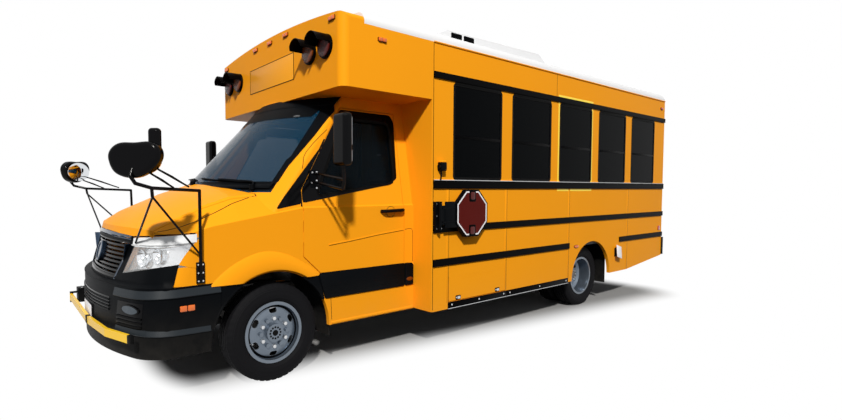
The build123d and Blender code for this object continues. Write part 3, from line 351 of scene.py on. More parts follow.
class Paint(Enum):
    """Every finish on the bus."""

    YELLOW = Finish("bus_yellow_enamel", "body_yellow", (0.90, 0.338, 0.009), 0.38, specular=0.03, drift=0.05,
                    drift_size=0.9, grain=(Grain.FLOW, 0.004, 0.00003), wave_depth=0.0012, dust=0.10, dust_top=0.75)
    WHITE = Finish("roof_white_enamel", "roof_white", (0.74, 0.75, 0.77), 0.4, coat=0.1, drift=0.03,
                   grain=(Grain.FLOW, 0.006, 0.00005), wave_depth=0.002)
    RAIL = Finish("rail_black_enamel", "rail_black", (0.001, 0.001, 0.0012), 0.34, specular=0.02, drift=0.2,
                  drift_size=0.3, grain=(Grain.FLOW, 0.003, 0.00005))
    CHASSIS = Finish("chassis_black_coat", "chassis_black", (0.008, 0.008, 0.009), 0.55, specular=0.1, drift=0.3,
                     grain=(Grain.FLOW, 0.004, 0.0002), dust=0.5, wear=0.3)
    CHROME = Finish("dark_chrome", "black_plastic", (0.030, 0.050, 0.085), 0.14, metallic=0.8, drift=0.2,
                    drift_size=0.1, grain=(Grain.FLOW, 0.02, 0.00005))
    # A lighter black than the other plastics: painted highlight along the bumper's ledges, whose up-facing slope also
    # catches the key light.
    LEDGE = Finish("ledge_highlight_black_plastic", "black_plastic", (0.010, 0.014, 0.018), 0.42, specular=0.2, drift=0.15,
                   grain=(Grain.MOULDED, 0.0025, 0.00025))
    FOG = Finish("smoked_lamp_lens", "lamp_clear", (0.07, 0.085, 0.10), 0.14, metallic=0.9, drift=0.5,
                 drift_size=0.03, grain=(Grain.FLOW, 0.012, 0.0006))
    BATTERY = Finish("battery_grey_coat", "battery_grey", (0.12, 0.125, 0.13), 0.5, drift=0.1, dust=0.5,
                     grain=(Grain.MOULDED, 0.004, 0.0002))
    PLASTIC = Finish("moulded_black_plastic", "black_plastic", (0.0015, 0.002, 0.0028), 0.5, specular=0.035,
                     drift=0.15, grain=(Grain.MOULDED, 0.0025, 0.00025), dust=0.12, dust_top=0.8)
    GLOSS = Finish("gloss_black_plastic", "black_plastic", (0.0015, 0.0015, 0.002), 0.16, specular=0.08, drift=0.1,
                   grain=(Grain.FLOW, 0.01, 0.00003))
    RUBBER = Finish("seal_black_rubber", "black_plastic", (0.002, 0.002, 0.002), 0.6, specular=0.05, drift=0.2,
                    grain=(Grain.MOULDED, 0.0015, 0.0001))
    TINT = Finish("tinted_window_glass", "dark_glass", (0.0005, 0.001, 0.0015), 0.03, specular=0.02, alpha=0.96,
                  drift=0.3, drift_size=0.8, wave_depth=0.0006)
    CAB_TINT = Finish("cab_side_glass", "dark_glass", (0.001, 0.003, 0.005), 0.03, specular=0.05, alpha=0.66,
                      drift=0.3, drift_size=0.8, wave_depth=0.0004)
    SCREEN = Finish("windshield_glass", "dark_glass", (0.003, 0.036, 0.078), 0.02, specular=0.12, alpha=0.52,
                    drift=0.3, drift_size=0.7, wave_depth=0.0004)
    MIRROR = Finish("mirror_glass", "dark_glass", (0.72, 0.74, 0.76), 0.03, metallic=1.0, drift=0.02,
                    grain=(Grain.FLOW, 0.05, 0.00002))
    LENS = Finish("clear_lens", "lamp_clear", (0.93, 0.95, 0.97), 0.02, specular=0.5, alpha=0.22, drift=0.02,
                  grain=(Grain.FLOW, 0.02, 0.00003))
    REFLECTOR = Finish("lamp_reflector", "lamp_clear", (0.82, 0.84, 0.87), 0.12, metallic=1.0, drift=0.06,
                       drift_size=0.05, grain=(Grain.FLOW, 0.012, 0.0004))
    WHITE_LAMP = Finish("white_lamp_lens", "lamp_clear", (0.80, 0.82, 0.84), 0.15, coat=0.5, drift=0.03,
                        grain=(Grain.RIBS, 0.01, 0.0003))
    AMBER = Finish("amber_lens", "lamp_amber", (0.70, 0.13, 0.005), 0.14, coat=0.3, glow=0.05, drift=0.25,
                   drift_size=0.03, grain=(Grain.RIBS, 0.01, 0.0005))
    RED = Finish("red_lens", "lamp_red", (0.42, 0.008, 0.006), 0.12, coat=0.6, glow=0.05, drift=0.25,
                 drift_size=0.03, grain=(Grain.RIBS, 0.01, 0.0005))
    # The two lens colours below are painted shade: amber and red darkened as if in the shade of a lamp hood.
    SHADED_AMBER = Finish("shade_darkened_amber_lens", "lamp_amber", (0.16, 0.035, 0.003), 0.2, specular=0.3, drift=0.25,
                        drift_size=0.03, grain=(Grain.RIBS, 0.01, 0.0005))
    SHADED_RED = Finish("shade_darkened_red_lens", "lamp_red", (0.075, 0.003, 0.002), 0.2, specular=0.3, drift=0.25,
                      drift_size=0.03, grain=(Grain.RIBS, 0.01, 0.0005))
    STOP = Finish("stop_red_sheeting", "stop_red", (0.082, 0.005, 0.003), 0.35, specular=0.05, drift=0.1,
                  drift_size=0.2, grain=(Grain.CELLS, 0.004, 0.0002))
    SHEETING = Finish("white_sheeting", "roof_white", (0.80, 0.79, 0.82), 0.35, drift=0.04,
                      grain=(Grain.CELLS, 0.004, 0.0002))
    # The tape's faint glow is painted brightness; the tape is no lamp.
    TAPE = Finish("yellow_reflex_tape", "arm_yellow", (0.98, 0.72, 0.03), 0.3, glow=0.06, drift=0.05,
                  drift_size=0.05, grain=(Grain.CELLS, 0.004, 0.0002))
    PANEL = Finish("pale_sign_sheeting", "arm_yellow", (0.90, 0.37, 0.016), 0.36, specular=0.1, drift=0.04,
                   grain=(Grain.CELLS, 0.004, 0.0002))
    ARM = Finish("arm_yellow_plastic", "arm_yellow", (0.95, 0.58, 0.015), 0.35, specular=0.35, drift=0.06,
                 drift_size=0.2, grain=(Grain.FLOW, 0.003, 0.0001), dust=0.1)
    SILVER = Finish("wheel_silver_enamel", "wheel_silver", (0.145, 0.175, 0.215), 0.30, metallic=0.75, coat=0.1,
                    drift=0.12, drift_size=0.1, grain=(Grain.FLOW, 0.004, 0.0001), wear=0.2)
    ALLOY = Finish("bare_aluminium", "wheel_silver", (0.62, 0.63, 0.64), 0.3, metallic=0.9, drift=0.1,
                   grain=(Grain.BRUSHED, 0.02, 0.00005))
    CAST = Finish("cast_iron_grey", "cast_grey", (0.10, 0.10, 0.10), 0.6, metallic=0.4, drift=0.3,
                  grain=(Grain.MOULDED, 0.003, 0.0004), dust=0.5, wear=0.4)
    TYRE = Finish("tyre_rubber", "tyre", (0.005, 0.005, 0.006), 0.72, specular=0.08, drift=0.3, drift_size=0.05,
                  grain=(Grain.FLOW, 0.003, 0.0003))
    TRIM = Finish("interior_grey_plastic", "interior_grey", (0.10, 0.105, 0.11), 0.6, specular=0.3, drift=0.06,
                  grain=(Grain.MOULDED, 0.002, 0.0002))
    FLOOR = Finish("ribbed_floor_rubber", "interior_grey", (0.035, 0.036, 0.038), 0.7, drift=0.1,
                   grain=(Grain.RIBS, 0.05, 0.002))
    VINYL = Finish("seat_blue_grey_vinyl", "seat_vinyl", (0.035, 0.045, 0.062), 0.48, specular=0.4, sheen=0.1,
                   drift=0.12, drift_size=0.08, grain=(Grain.MOULDED, 0.003, 0.0003))


class FinishShop:
    """Makes each material once, on first use."""

    def __init__(self) -> None:
        """Builds the shared shader groups."""
        self.effects = Effects()
        self.made: dict[Paint, bpy.types.Material] = {}

    def material(self, paint: Paint) -> bpy.types.Material:
        """The material of one finish."""
        if paint not in self.made:
            self.made[paint] = paint.value.build(self.effects)
        return self.made[paint]

    def dress(self, node: bpy.types.Object, paint: Paint) -> None:
        """Gives a frame node one finish in every material slot."""
        if not node.data.materials:
            node.data.materials.append(None)
        for slot in node.material_slots:
            slot.material = self.material(paint)


# ---------------------------------------------------------------- outlines
def rounded_rect(low: Point, high: Point, radius: float, steps: int = 6) -> Outline:
    """Rectangle with round corners.

    Args:
        low: Lower corner.
        high: Upper corner.
        radius: Radius of the corners.
        steps: Straight runs in each corner.

    Returns:
        The outline's points, anticlockwise.
    """
    points = []
    centres = ((high[0] - radius, high[1] - radius), (low[0] + radius, high[1] - radius),
               (low[0] + radius, low[1] + radius), (high[0] - radius, low[1] + radius))
    for quarter, (a, b) in enumerate(centres):
        for step in range(steps + 1):
            angle = math.pi / 2 * (quarter + step / steps)
            points.append((a + radius * math.cos(angle), b + radius * math.sin(angle)))
    return points


def cap(radius: float, top: float, height: float, crown: float, foot: float = 0.0) -> Outline:
    """Profile of a low round cap, to be turned.

    Args:
        radius: Radius at its foot.
        top: Radius at its upper edge.
        height: Height of that edge.
        crown: Height in the middle.
        foot: Where it starts.

    Returns:
        The closed profile as (radius, height).
    """
    return [(0.0, foot), (radius, foot), (top, height), (0.0, crown)]


def eased(before: Vector, here: Vector, after: Vector, radius: float, steps: int) -> list[Vector]:
    """Short curve in place of one corner.

    Args:
        before: The corner before it.
        here: The corner.
        after: The corner after it.
        radius: Distance from the corner at which the curve starts.
        steps: Straight runs in the curve.

    Returns:
        The curve's points.
    """
    start = here + (before - here).normalized() * min(radius, (before - here).length / 2)
    end = here + (after - here).normalized() * min(radius, (after - here).length / 2)
    shares = [step / steps for step in range(steps + 1)]
    return [start * (1 - t) ** 2 + here * 2 * t * (1 - t) + end * t ** 2 for t in shares]


def softened(corners: Outline, radius: float, steps: int = 5) -> Outline:
    """Polygon with each corner turned into a short curve."""
    ring = [Vector(corner) for corner in corners]
    return [(point.x, point.y) for before, here, after in zip(ring[-1:] + ring, ring, ring[1:] + ring[:1])
            for point in eased(before, here, after, radius, steps)]


def ellipse(centre: Point, half: Point, steps: int = 32) -> Outline:
    """Ellipse as a polygon, anticlockwise."""
    turn = 2 * math.pi / steps
    return [(centre[0] + half[0] * math.cos(turn * k), centre[1] + half[1] * math.sin(turn * k))
            for k in range(steps)]


def grown(outline: Outline, distance: float) -> Outline:
    """Outline moved outwards along its normals.

    Args:
        outline: Anticlockwise outline.
        distance: How far it moves; negative shrinks it.

    Returns:
        The moved outline, with as many points.
    """
    moved = []
    count = len(outline)
    for index in range(count):
        before, here, after = (Vector(outline[(index + k) % count]) for k in (-1, 0, 1))
        edge = after - before
        if edge.length < 1e-9:
            edge = Vector((1.0, 0.0))
        normal = Vector((edge.y, -edge.x)).normalized()
        moved.append(tuple(here + normal * distance))
    return moved


def resampled(points: Sequence[Point], count: int, ring: bool = False) -> list[Vector]:
    """Evenly spaced points along a line of straight runs.

    Args:
        points: Corners of the line.
        count: How many points to give.
        ring: Whether the line runs back to its first point.

    Returns:
        The new points.
    """
    corners = [Vector(point) for point in points]
    if ring:
        corners.append(corners[0])
    lengths = [(b - a).length for a, b in zip(corners[:-1], corners[1:])]
    total = sum(lengths)
    found = []
    for k in range(count):
        left = total * k / (count if ring else count - 1)
        index = 0
        while index < len(lengths) - 1 and left > lengths[index]:
            left -= lengths[index]
            index += 1
        share = min(1.0, left / lengths[index]) if lengths[index] else 0.0
        found.append(corners[index].lerp(corners[index + 1], share))
    return found


def curved_path(corners: Sequence[Point], radius: float, steps: int = 6) -> list[Vector]:
    """Open path with each inner corner turned into a short curve."""
    path = [Vector(corner) for corner in corners]
    inner = [eased(*three, radius, steps) for three in zip(path[:-2], path[1:-1], path[2:])]
    return [path[0], *(point for curve in inner for point in curve), path[-1]]


def run(low: Point, high: Point, count: int) -> list[Vector]:
    """Evenly spaced points from one place to another."""
    return [Vector(low).lerp(Vector(high), k / (count - 1)) for k in range(count)]


# ---------------------------------------------------------------- meshes
class Bus:
    """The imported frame, with the front axle as its measuring point."""

    def __init__(self, shop: FinishShop) -> None:
        """Loads the frame.

        Args:
            shop: Makes the materials.
        """
        self.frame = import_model()
        self.nodes: dict[str, bpy.types.Object] = self.frame["nodes"]
        self.shop = shop
        low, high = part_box("front_tyre_left")
        self.axle = Vector(((low.x + high.x) / 2, 0.0, 0.0))
        self.trees: dict[str, BVHTree] = {}

    def box(self, node: str) -> tuple[Vector, Vector]:
        """Lowest and highest corner of a node, measured from the front axle."""
        low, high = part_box(node)
        return low - self.axle, high - self.axle

    def dress(self, paint: Paint, *names: str) -> None:
        """Gives frame nodes one finish."""
        for name in names:
            self.shop.dress(self.nodes[name], paint)

    def hit(self, node: str, start: Point, direction: Point) -> tuple[Vector, Vector] | None:
        """Where a straight line first meets a node.

        Args:
            node: Name of the node, or several joined by plus signs.
            start: Start of the line.
            direction: Its direction.

        Returns:
            The point and the surface's normal there, or None.
        """
        if node not in self.trees:
            corners, faces = [], []
            for part in node.split("+"):
                mesh = self.nodes[part].data
                mesh.calc_loop_triangles()
                faces += [[len(corners) + index for index in t.vertices] for t in mesh.loop_triangles]
                corners += [v.co - self.axle for v in mesh.vertices]
            self.trees[node] = BVHTree.FromPolygons(corners, faces)
        place, normal, _, _ = self.trees[node].ray_cast(Vector(start), Vector(direction).normalized())
        if place is None:
            return None
        if normal.dot(Vector(direction)) > 0:
            normal = -normal
        return place, normal

    def line_of_hits(self, node: str, starts: Sequence[Vector], direction: Point) -> list[tuple[Vector, Vector]]:
        """Where lines side by side meet a node; one that misses keeps its neighbour's depth.

        Args:
            node: Name of the node.
            starts: Starts of the lines.
            direction: Their common direction.

        Returns:
            A point and a normal for each line.
        """
        found = [self.hit(node, start, direction) for start in starts]
        known = [index for index, touch in enumerate(found) if touch is not None]
        if not known:
            raise ValueError(f"nothing of {node} from {tuple(starts[0])} to {tuple(starts[-1])}")
        aim = Vector(direction).normalized()
        filled = []
        for index, touch in enumerate(found):
            if touch is None:
                near = min(known, key=lambda other: abs(other - index))
                place, normal = found[near]
                touch = (starts[index] + aim * (place - starts[near]).dot(aim), normal)
            filled.append(touch)
        return filled


class Shape:
    """Mesh of one piece while it is being made."""

    def __init__(self, name: str) -> None:
        """Starts an empty piece.

        Args:
            name: Name of the finished object.
        """
        self.name = name
        self.mesh = bmesh.new()

    def take(self, part: bmesh.types.BMesh, paint: int, turn: Matrix | None = None) -> None:
        """Moves a finished part into the piece.

        Args:
            part: The part; it is freed.
            paint: Index of its finish.
            turn: Matrix that places it.
        """
        if turn is not None:
            bmesh.ops.transform(part, matrix=turn, verts=part.verts)
        for face in part.faces:
            face.material_index = paint
        mesh = bpy.data.meshes.new("part")
        part.to_mesh(mesh)
        part.free()
        self.mesh.from_mesh(mesh)
        bpy.data.meshes.remove(mesh)

    def box(self, low: Point, high: Point, bevel: float = 0.0, paint: int = 0, steps: int = 2,
            turn: Matrix | None = None) -> None:
        """Adds a box with rounded edges.

        Args:
            low: Lowest corner.
            high: Highest corner.
            bevel: Radius of its edges.
            paint: Index of its finish.
            steps: Rings in each rounded edge.
            turn: Matrix that places it.
        """
        part = bmesh.new()
        bmesh.ops.create_cube(part, size=1.0)
        size = Vector(high) - Vector(low)
        bmesh.ops.scale(part, vec=size, verts=part.verts)
        bmesh.ops.translate(part, vec=(Vector(high) + Vector(low)) / 2, verts=part.verts)
        if bevel:
            bmesh.ops.bevel(part, geom=part.edges[:], offset=min(bevel, min(size) * 0.49), segments=steps,
                            profile=0.5, affect="EDGES")
        self.take(part, paint, turn)

    def loft(self, rings: Sequence[Sequence[Point]], paint: int = 0, closed: bool = True, caps: bool = True,
             joined: bool = False, turn: Matrix | None = None) -> None:
        """Adds a skin through rings of points.

        Args:
            rings: Rings with equally many points.
            paint: Index of its finish.
            closed: Whether each ring runs back to its first point.
            caps: Whether the first and last ring are filled.
            joined: Whether the last ring runs back to the first.
            turn: Matrix that places it.
        """
        part = bmesh.new()
        rows = [[part.verts.new(point) for point in ring] for ring in rings]
        count = len(rows[0])
        last = count if closed else count - 1
        pairs = list(zip(rows[:-1], rows[1:]))
        if joined:
            pairs.append((rows[-1], rows[0]))
        for row, after in pairs:
            for index in range(last):
                side = (index + 1) % count
                part.faces.new((row[index], row[side], after[side], after[index]))
        if caps and closed and not joined:
            part.faces.new(list(reversed(rows[0])))
            part.faces.new(rows[-1])
        bmesh.ops.remove_doubles(part, verts=part.verts, dist=1e-6)
        bmesh.ops.recalc_face_normals(part, faces=part.faces)
        self.take(part, paint, turn)

    @staticmethod
    def _place(axis: Axis, a: float, b: float, along: float) -> Vector:
        """Point of an outline, at a distance along its axis."""
        return {Axis.X: Vector((along, a, b)), Axis.Y: Vector((a, along, b)), Axis.Z: Vector((a, b, along))}[axis]

    def prism(self, outline: Outline, axis: Axis, low: float, high: float, bevel: float = 0.0, paint: int = 0,
              turn: Matrix | None = None) -> None:
        """Adds an outline extruded along an axis, with a chamfer round its high face.

        Args:
            outline: Outline across the axis: (y, z), (x, z) or (x, y).
            axis: Direction of the extrusion.
            low: Where it starts.
            high: Where it ends; the chamfered face.
            bevel: Size of the chamfer.
            paint: Index of its finish.
            turn: Matrix that places it.
        """
        levels = [(0.0, low), (0.0, high)]
        if bevel:
            lean = math.copysign(bevel, high - low)
            levels = [(0.0, low), (0.0, high - lean), (-bevel * 0.3, high - lean * 0.3), (-bevel, high)]
        area = sum(p[0] * q[1] - q[0] * p[1] for p, q in zip(outline, outline[1:] + outline[:1]))
        facing = outline if area > 0 else list(reversed(outline))
        rings = [[self._place(axis, a, b, along) for a, b in (grown(facing, move) if move else facing)]
                 for move, along in levels]
        self.loft(rings, paint, turn=turn)

    def hoop(self, outer: Outline, inner: Outline, axis: Axis, low: float, high: float, bevel: float = 0.0,
             paint: int = 0) -> None:
        """Adds a flat frame between two outlines with equally many points.

        Args:
            outer: Outside outline.
            inner: Inside outline.
            axis: Direction of its depth.
            low: Back of the frame.
            high: Front of the frame, whose edges are eased.
            bevel: Size of the eased edge.
            paint: Index of its finish.
        """
        lean = math.copysign(bevel, high - low)
        levels = [(outer, low), (outer, high - lean), (grown(outer, -bevel), high), (grown(inner, bevel), high),
                  (inner, high - lean), (inner, low)]
        if not bevel:
            levels = [(outer, low), (outer, high), (inner, high), (inner, low)]
        rings = [[self._place(axis, a, b, along) for a, b in outline] for outline, along in levels]
        self.loft(rings, paint, joined=True)

    def turned(self, profile: Outline, centre: Point, axis: Axis, steps: int = 48, paint: int = 0,
               facing: float = 1.0, turn: Matrix | None = None) -> None:
        """Adds a profile turned about an axis.

        Args:
            profile: Closed profile as (radius, distance along the axis).
            centre: Centre of the shape.
            axis: Axis it is turned about.
            steps: Facets round the axis.
            paint: Index of its finish.
            facing: -1 points the profile the other way along the axis.
            turn: Matrix that places it.
        """
        middle = Vector(centre)
        rings = []
        for step in range(steps):
            angle = 2 * math.pi * step / steps
            ring = [middle + self._place(axis, radius * math.cos(angle), radius * math.sin(angle), facing * along)
                    for radius, along in profile]
            rings.append(ring)
        self.loft(rings, paint, joined=True, turn=turn)

    def tube(self, path: Sequence[Point], radius: float, steps: int = 12, paint: int = 0,
             flat: float = 1.0) -> None:
        """Adds a bar along a path.

        Args:
            path: Points along its middle.
            radius: Radius of the bar.
            steps: Facets round it.
            paint: Index of its finish.
            flat: Height of the bar as a share of its width.
        """
        points = [Vector(point) for point in path]
        rings = []
        across = None
        for index, here in enumerate(points):
            before, after = points[max(index - 1, 0)], points[min(index + 1, len(points) - 1)]
            along = (after - before).normalized()
            if across is None:
                across = along.cross(Vector((0, 0, 1)))
                if across.length < 1e-4:
                    across = along.cross(Vector((0, 1, 0)))
            across = (across - along * across.dot(along)).normalized()
            up = along.cross(across)
            rings.append([here + across * math.cos(2 * math.pi * k / steps) * radius
                          + up * math.sin(2 * math.pi * k / steps) * radius * flat for k in range(steps)])
        self.loft(rings, paint)

    def bead(self, path: Sequence[tuple[Vector, Vector]], width: float, height: float, paint: int = 0,
             sink: float = 0.002) -> None:
        """Adds a low rounded bead that follows a surface.

        Args:
            path: Points on the surface, each with the surface's normal.
            width: Width of the bead.
            height: How far it stands out.
            paint: Index of its finish.
            sink: How far its foot goes into the surface.
        """
        rings = []
        for index, (here, normal) in enumerate(path):
            before, after = path[max(index - 1, 0)][0], path[min(index + 1, len(path) - 1)][0]
            across = (after - before).cross(normal).normalized()
            shape = ((-0.5, -sink), (-0.5, height * 0.35), (-0.32, height), (0.32, height), (0.5, height * 0.35),
                     (0.5, -sink))
            rings.append([here + across * width * a + normal * b for a, b in shape])
        self.loft(rings, paint)

    def finish(self, bus: Bus, body: str, paints: Sequence[Paint], replaces: Sequence[str] = (),
               crease_deg: float = 34.0) -> bpy.types.Object:
        """Turns the mesh into a piece of the bus.

        Args:
            bus: The frame.
            body: Body that the piece rides on.
            paints: Finishes, in the order of the parts' paint numbers.
            replaces: Frame nodes that the piece stands for.
            crease_deg: Edges sharper than this stay sharp.

        Returns:
            The finished object.
        """
        bmesh.ops.translate(self.mesh, vec=bus.axle, verts=self.mesh.verts)
        limit = math.radians(crease_deg)
        for face in self.mesh.faces:
            face.smooth = True
        for edge in self.mesh.edges:
            edge.smooth = len(edge.link_faces) == 2 and edge.calc_face_angle(0.0) < limit
        mesh = bpy.data.meshes.new(self.name)
        self.mesh.to_mesh(mesh)
        self.mesh.free()
        for paint in paints:
            mesh.materials.append(bus.shop.material(paint))
        piece = bpy.data.objects.new(self.name, mesh)
        bpy.context.scene.collection.objects.link(piece)
        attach(piece, body)
        if replaces:
            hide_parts(*replaces)
        LOG.info("%s: %d faces on %s", self.name, len(mesh.polygons), body)
        return piece

    def quilt(self, bus: Bus, node: str, near: Sequence[Point], far: Sequence[Point], direction: Point,
              rows: int = 1, height: float = 0.002, sink: float = 0.002, paint: int = 0, ring: bool = False) -> None:
        """Adds a skin that lies on a node's surface between two lines of points.

        Args:
            bus: The frame.
            node: Node that it lies on.
            near: First line, outside the node.
            far: Second line, with as many points.
            direction: Way that the points are thrown onto the node.
            rows: Rows of faces between the lines.
            height: How far the skin stands off the surface; negative lies under it.
            sink: How far its back lies under its front.
            paint: Index of its finish.
            ring: Whether the lines run back to their first points.
        """
        grid, hidden = [], []
        for row in range(rows + 1):
            touches = bus.line_of_hits(node, [Vector(a).lerp(Vector(b), row / rows) for a, b in zip(near, far)],
                                       direction)
            grid.append([place + normal * height for place, normal in touches])
            hidden.append([place + normal * (height - sink) for place, normal in touches])
        self.loft([hidden[0]] + grid + [hidden[-1]], paint, closed=ring, caps=False)
        if not ring:
            for side in (0, -1):
                self.loft([[row[side] for row in grid], [row[side] for row in hidden]], paint, closed=False,
                          caps=False)


# ---------------------------------------------------------------- studio
@dataclass
class Studio:
    """Pale floor with a painted shadow patch under the bus, soft light, key lamp and camera."""

    eye: Point = (1.7253, 4.3949, 1.5054)
    yaw_deg: float = -128.04
    pitch_deg: float = -2.949
    lens: float = 20.95
    shift: Point = (0.0568, 0.0052)
    key_from: Point = (0.494, 0.616, 0.614)
    key_power: float = 12000.0
    key_size: float = 1.9
    key_distance: float = 32.0
    ambient: float = 0.29
    floor_shown: float = 0.30
    floor_lit: float = 0.045
    # The shade_ values shape a painted shadow patch on the floor round the bus.
    shade_core: Point = (0.45, 0.185)
    shade_steep: float = 2.4
    shade_far: float = -0.75
    shade_rear: float = -5.6
    shade_spread: float = 0.125
    shade_start: float = 0.25
    shade_fade: float = 0.85

    def build(self, bus: Bus) -> None:
        """Builds the studio.

        Args:
            bus: The frame that it is set round.
        """
        bpy.context.scene.view_settings.view_transform = "Standard"
        self._world()
        self._floor(bus)
        self._key(bus)
        self._camera(bus)

    def _world(self) -> None:
        """White surroundings, dimmer where they light the bus."""
        world = bpy.data.worlds.new("studio_white")
        bpy.context.scene.world = world
        world.use_nodes = True
        tree = world.node_tree
        shade = tree.nodes["Background"]
        shade.inputs["Strength"].default_value = self.ambient
        shade.inputs["Color"].default_value = (0.93, 0.96, 1.0, 1.0)
        seen = wired(tree, "Background", {"Color": (1.0, 1.0, 1.0, 1.0)})
        mix = wired(tree, "MixShader", {"Fac": self._seen_mask(tree), 1: shade.outputs[0], 2: seen.outputs[0]})
        tree.links.new(mix.outputs[0], tree.nodes["World Output"].inputs["Surface"])

    @staticmethod
    def _seen_mask(tree: bpy.types.NodeTree) -> bpy.types.NodeSocket:
        """Socket that is 1 for what the camera, a gloss or a glass sees."""
        rays = wired(tree, "LightPath").outputs
        camera_or_gloss = sums(tree, "MAXIMUM", rays["Is Camera Ray"], rays["Is Glossy Ray"])
        return sums(tree, "MAXIMUM", camera_or_gloss, rays["Is Transmission Ray"])

    def _floor(self, bus: Bus) -> None:
        """Pale floor that fades to white away from the bus; the grey kept near the bus is painted shadow over the bus's
        real cast shadow.
        """
        shape = bmesh.new()
        bmesh.ops.create_circle(shape, cap_ends=True, radius=60.0, segments=96)
        mesh = bpy.data.meshes.new("studio_floor")
        shape.to_mesh(mesh)
        shape.free()
        floor = bpy.data.objects.new("studio_floor", mesh)
        bpy.context.scene.collection.objects.link(floor)
        material = bpy.data.materials.new("studio_floor")
        material.use_nodes = True
        mesh.materials.append(material)
        tree = material.node_tree
        plain = tree.nodes["Principled BSDF"]
        seen = self._seen_mask(tree)
        tones = {name: (value,) * 3 + (1.0,) for name, value in (("A", self.floor_lit), ("B", self.floor_shown))}
        tone = wired(tree, "Mix", {**tones, "Factor": seen}, data_type="RGBA")
        tree.links.new(tone.outputs["Result"], plain.inputs["Base Color"])
        plain.inputs["Roughness"].default_value = 0.9
        plain.inputs["Specular IOR Level"].default_value = 0.1
        # Where this mask is low, the camera sees the grey floor: painted shadow under the bus.
        away = sums(tree, "MULTIPLY", seen, self._shadow_patch_mask(tree, bus))
        white = wired(tree, "Emission")
        mix = wired(tree, "MixShader", {"Fac": away, 1: plain.outputs[0], 2: white.outputs[0]})
        tree.links.new(mix.outputs[0], tree.nodes["Material Output"].inputs["Surface"])

    def _shadow_patch_mask(self, tree: bpy.types.NodeTree, bus: Bus) -> bpy.types.NodeSocket:
        """Socket of the painted shadow patch: 0 under the bus, growing to 1 away from it.

        Args:
            tree: The floor's tree.
            bus: The frame.

        Returns:
            The mask's socket.
        """
        place = wired(tree, "SeparateXYZ", {0: wired(tree, "TexCoord").outputs["Object"]})
        x, y = place.outputs["X"], place.outputs["Y"]
        axle = bus.axle.x
        before = sums(tree, "MULTIPLY", sums(tree, "SUBTRACT", x, axle + self.shade_core[0]), self.shade_steep)
        ahead = sums(tree, "MAXIMUM", before, sums(tree, "SUBTRACT", axle + self.shade_rear, x))
        wider = sums(tree, "MULTIPLY_ADD", x, self.shade_spread, -self.shade_core[1] - self.shade_spread * axle)
        aside = sums(tree, "MAXIMUM", sums(tree, "ADD", y, wider),
                     sums(tree, "MULTIPLY_ADD", y, -1.0, self.shade_far))
        both = wired(tree, "CombineXYZ", {"X": sums(tree, "MAXIMUM", ahead, 0.0),
                                          "Y": sums(tree, "MAXIMUM", aside, 0.0)})
        length = wired(tree, "VectorMath", {0: both.outputs[0]}, operation="LENGTH")
        reach = wired(tree, "MapRange", {"Value": length.outputs["Value"], "From Min": self.shade_start,
                                         "From Max": self.shade_fade}, interpolation_type="SMOOTHSTEP")
        return reach.outputs["Result"]

    def _key(self, bus: Bus) -> None:
        """Large soft lamp, high on the bus's left and ahead of it."""
        light = bpy.data.lights.new("key_softbox", "AREA")
        light.shape = "DISK"
        light.size = self.key_size
        light.energy = self.key_power
        light.color = (1.0, 0.97, 0.92)
        lamp = bpy.data.objects.new("key_softbox", light)
        bpy.context.scene.collection.objects.link(lamp)
        aim = Vector(self.key_from).normalized()
        middle = bus.axle + Vector((-2.2, 0.0, 1.3))
        lamp.location = middle + aim * self.key_distance
        lamp.rotation_euler = aim.to_track_quat("Z", "Y").to_euler()

    def _camera(self, bus: Bus) -> None:
        """Camera at the left front quarter."""
        data = bpy.data.cameras.new("quarter_view")
        data.lens = self.lens
        data.sensor_width = 36.0
        data.shift_x, data.shift_y = self.shift
        data.clip_end = 300.0
        camera = bpy.data.objects.new("quarter_view", data)
        bpy.context.scene.collection.objects.link(camera)
        camera.location = bus.axle + Vector(self.eye)
        camera.rotation_euler = (math.radians(90 + self.pitch_deg), 0.0, math.radians(self.yaw_deg - 90))
        bpy.context.scene.camera = camera


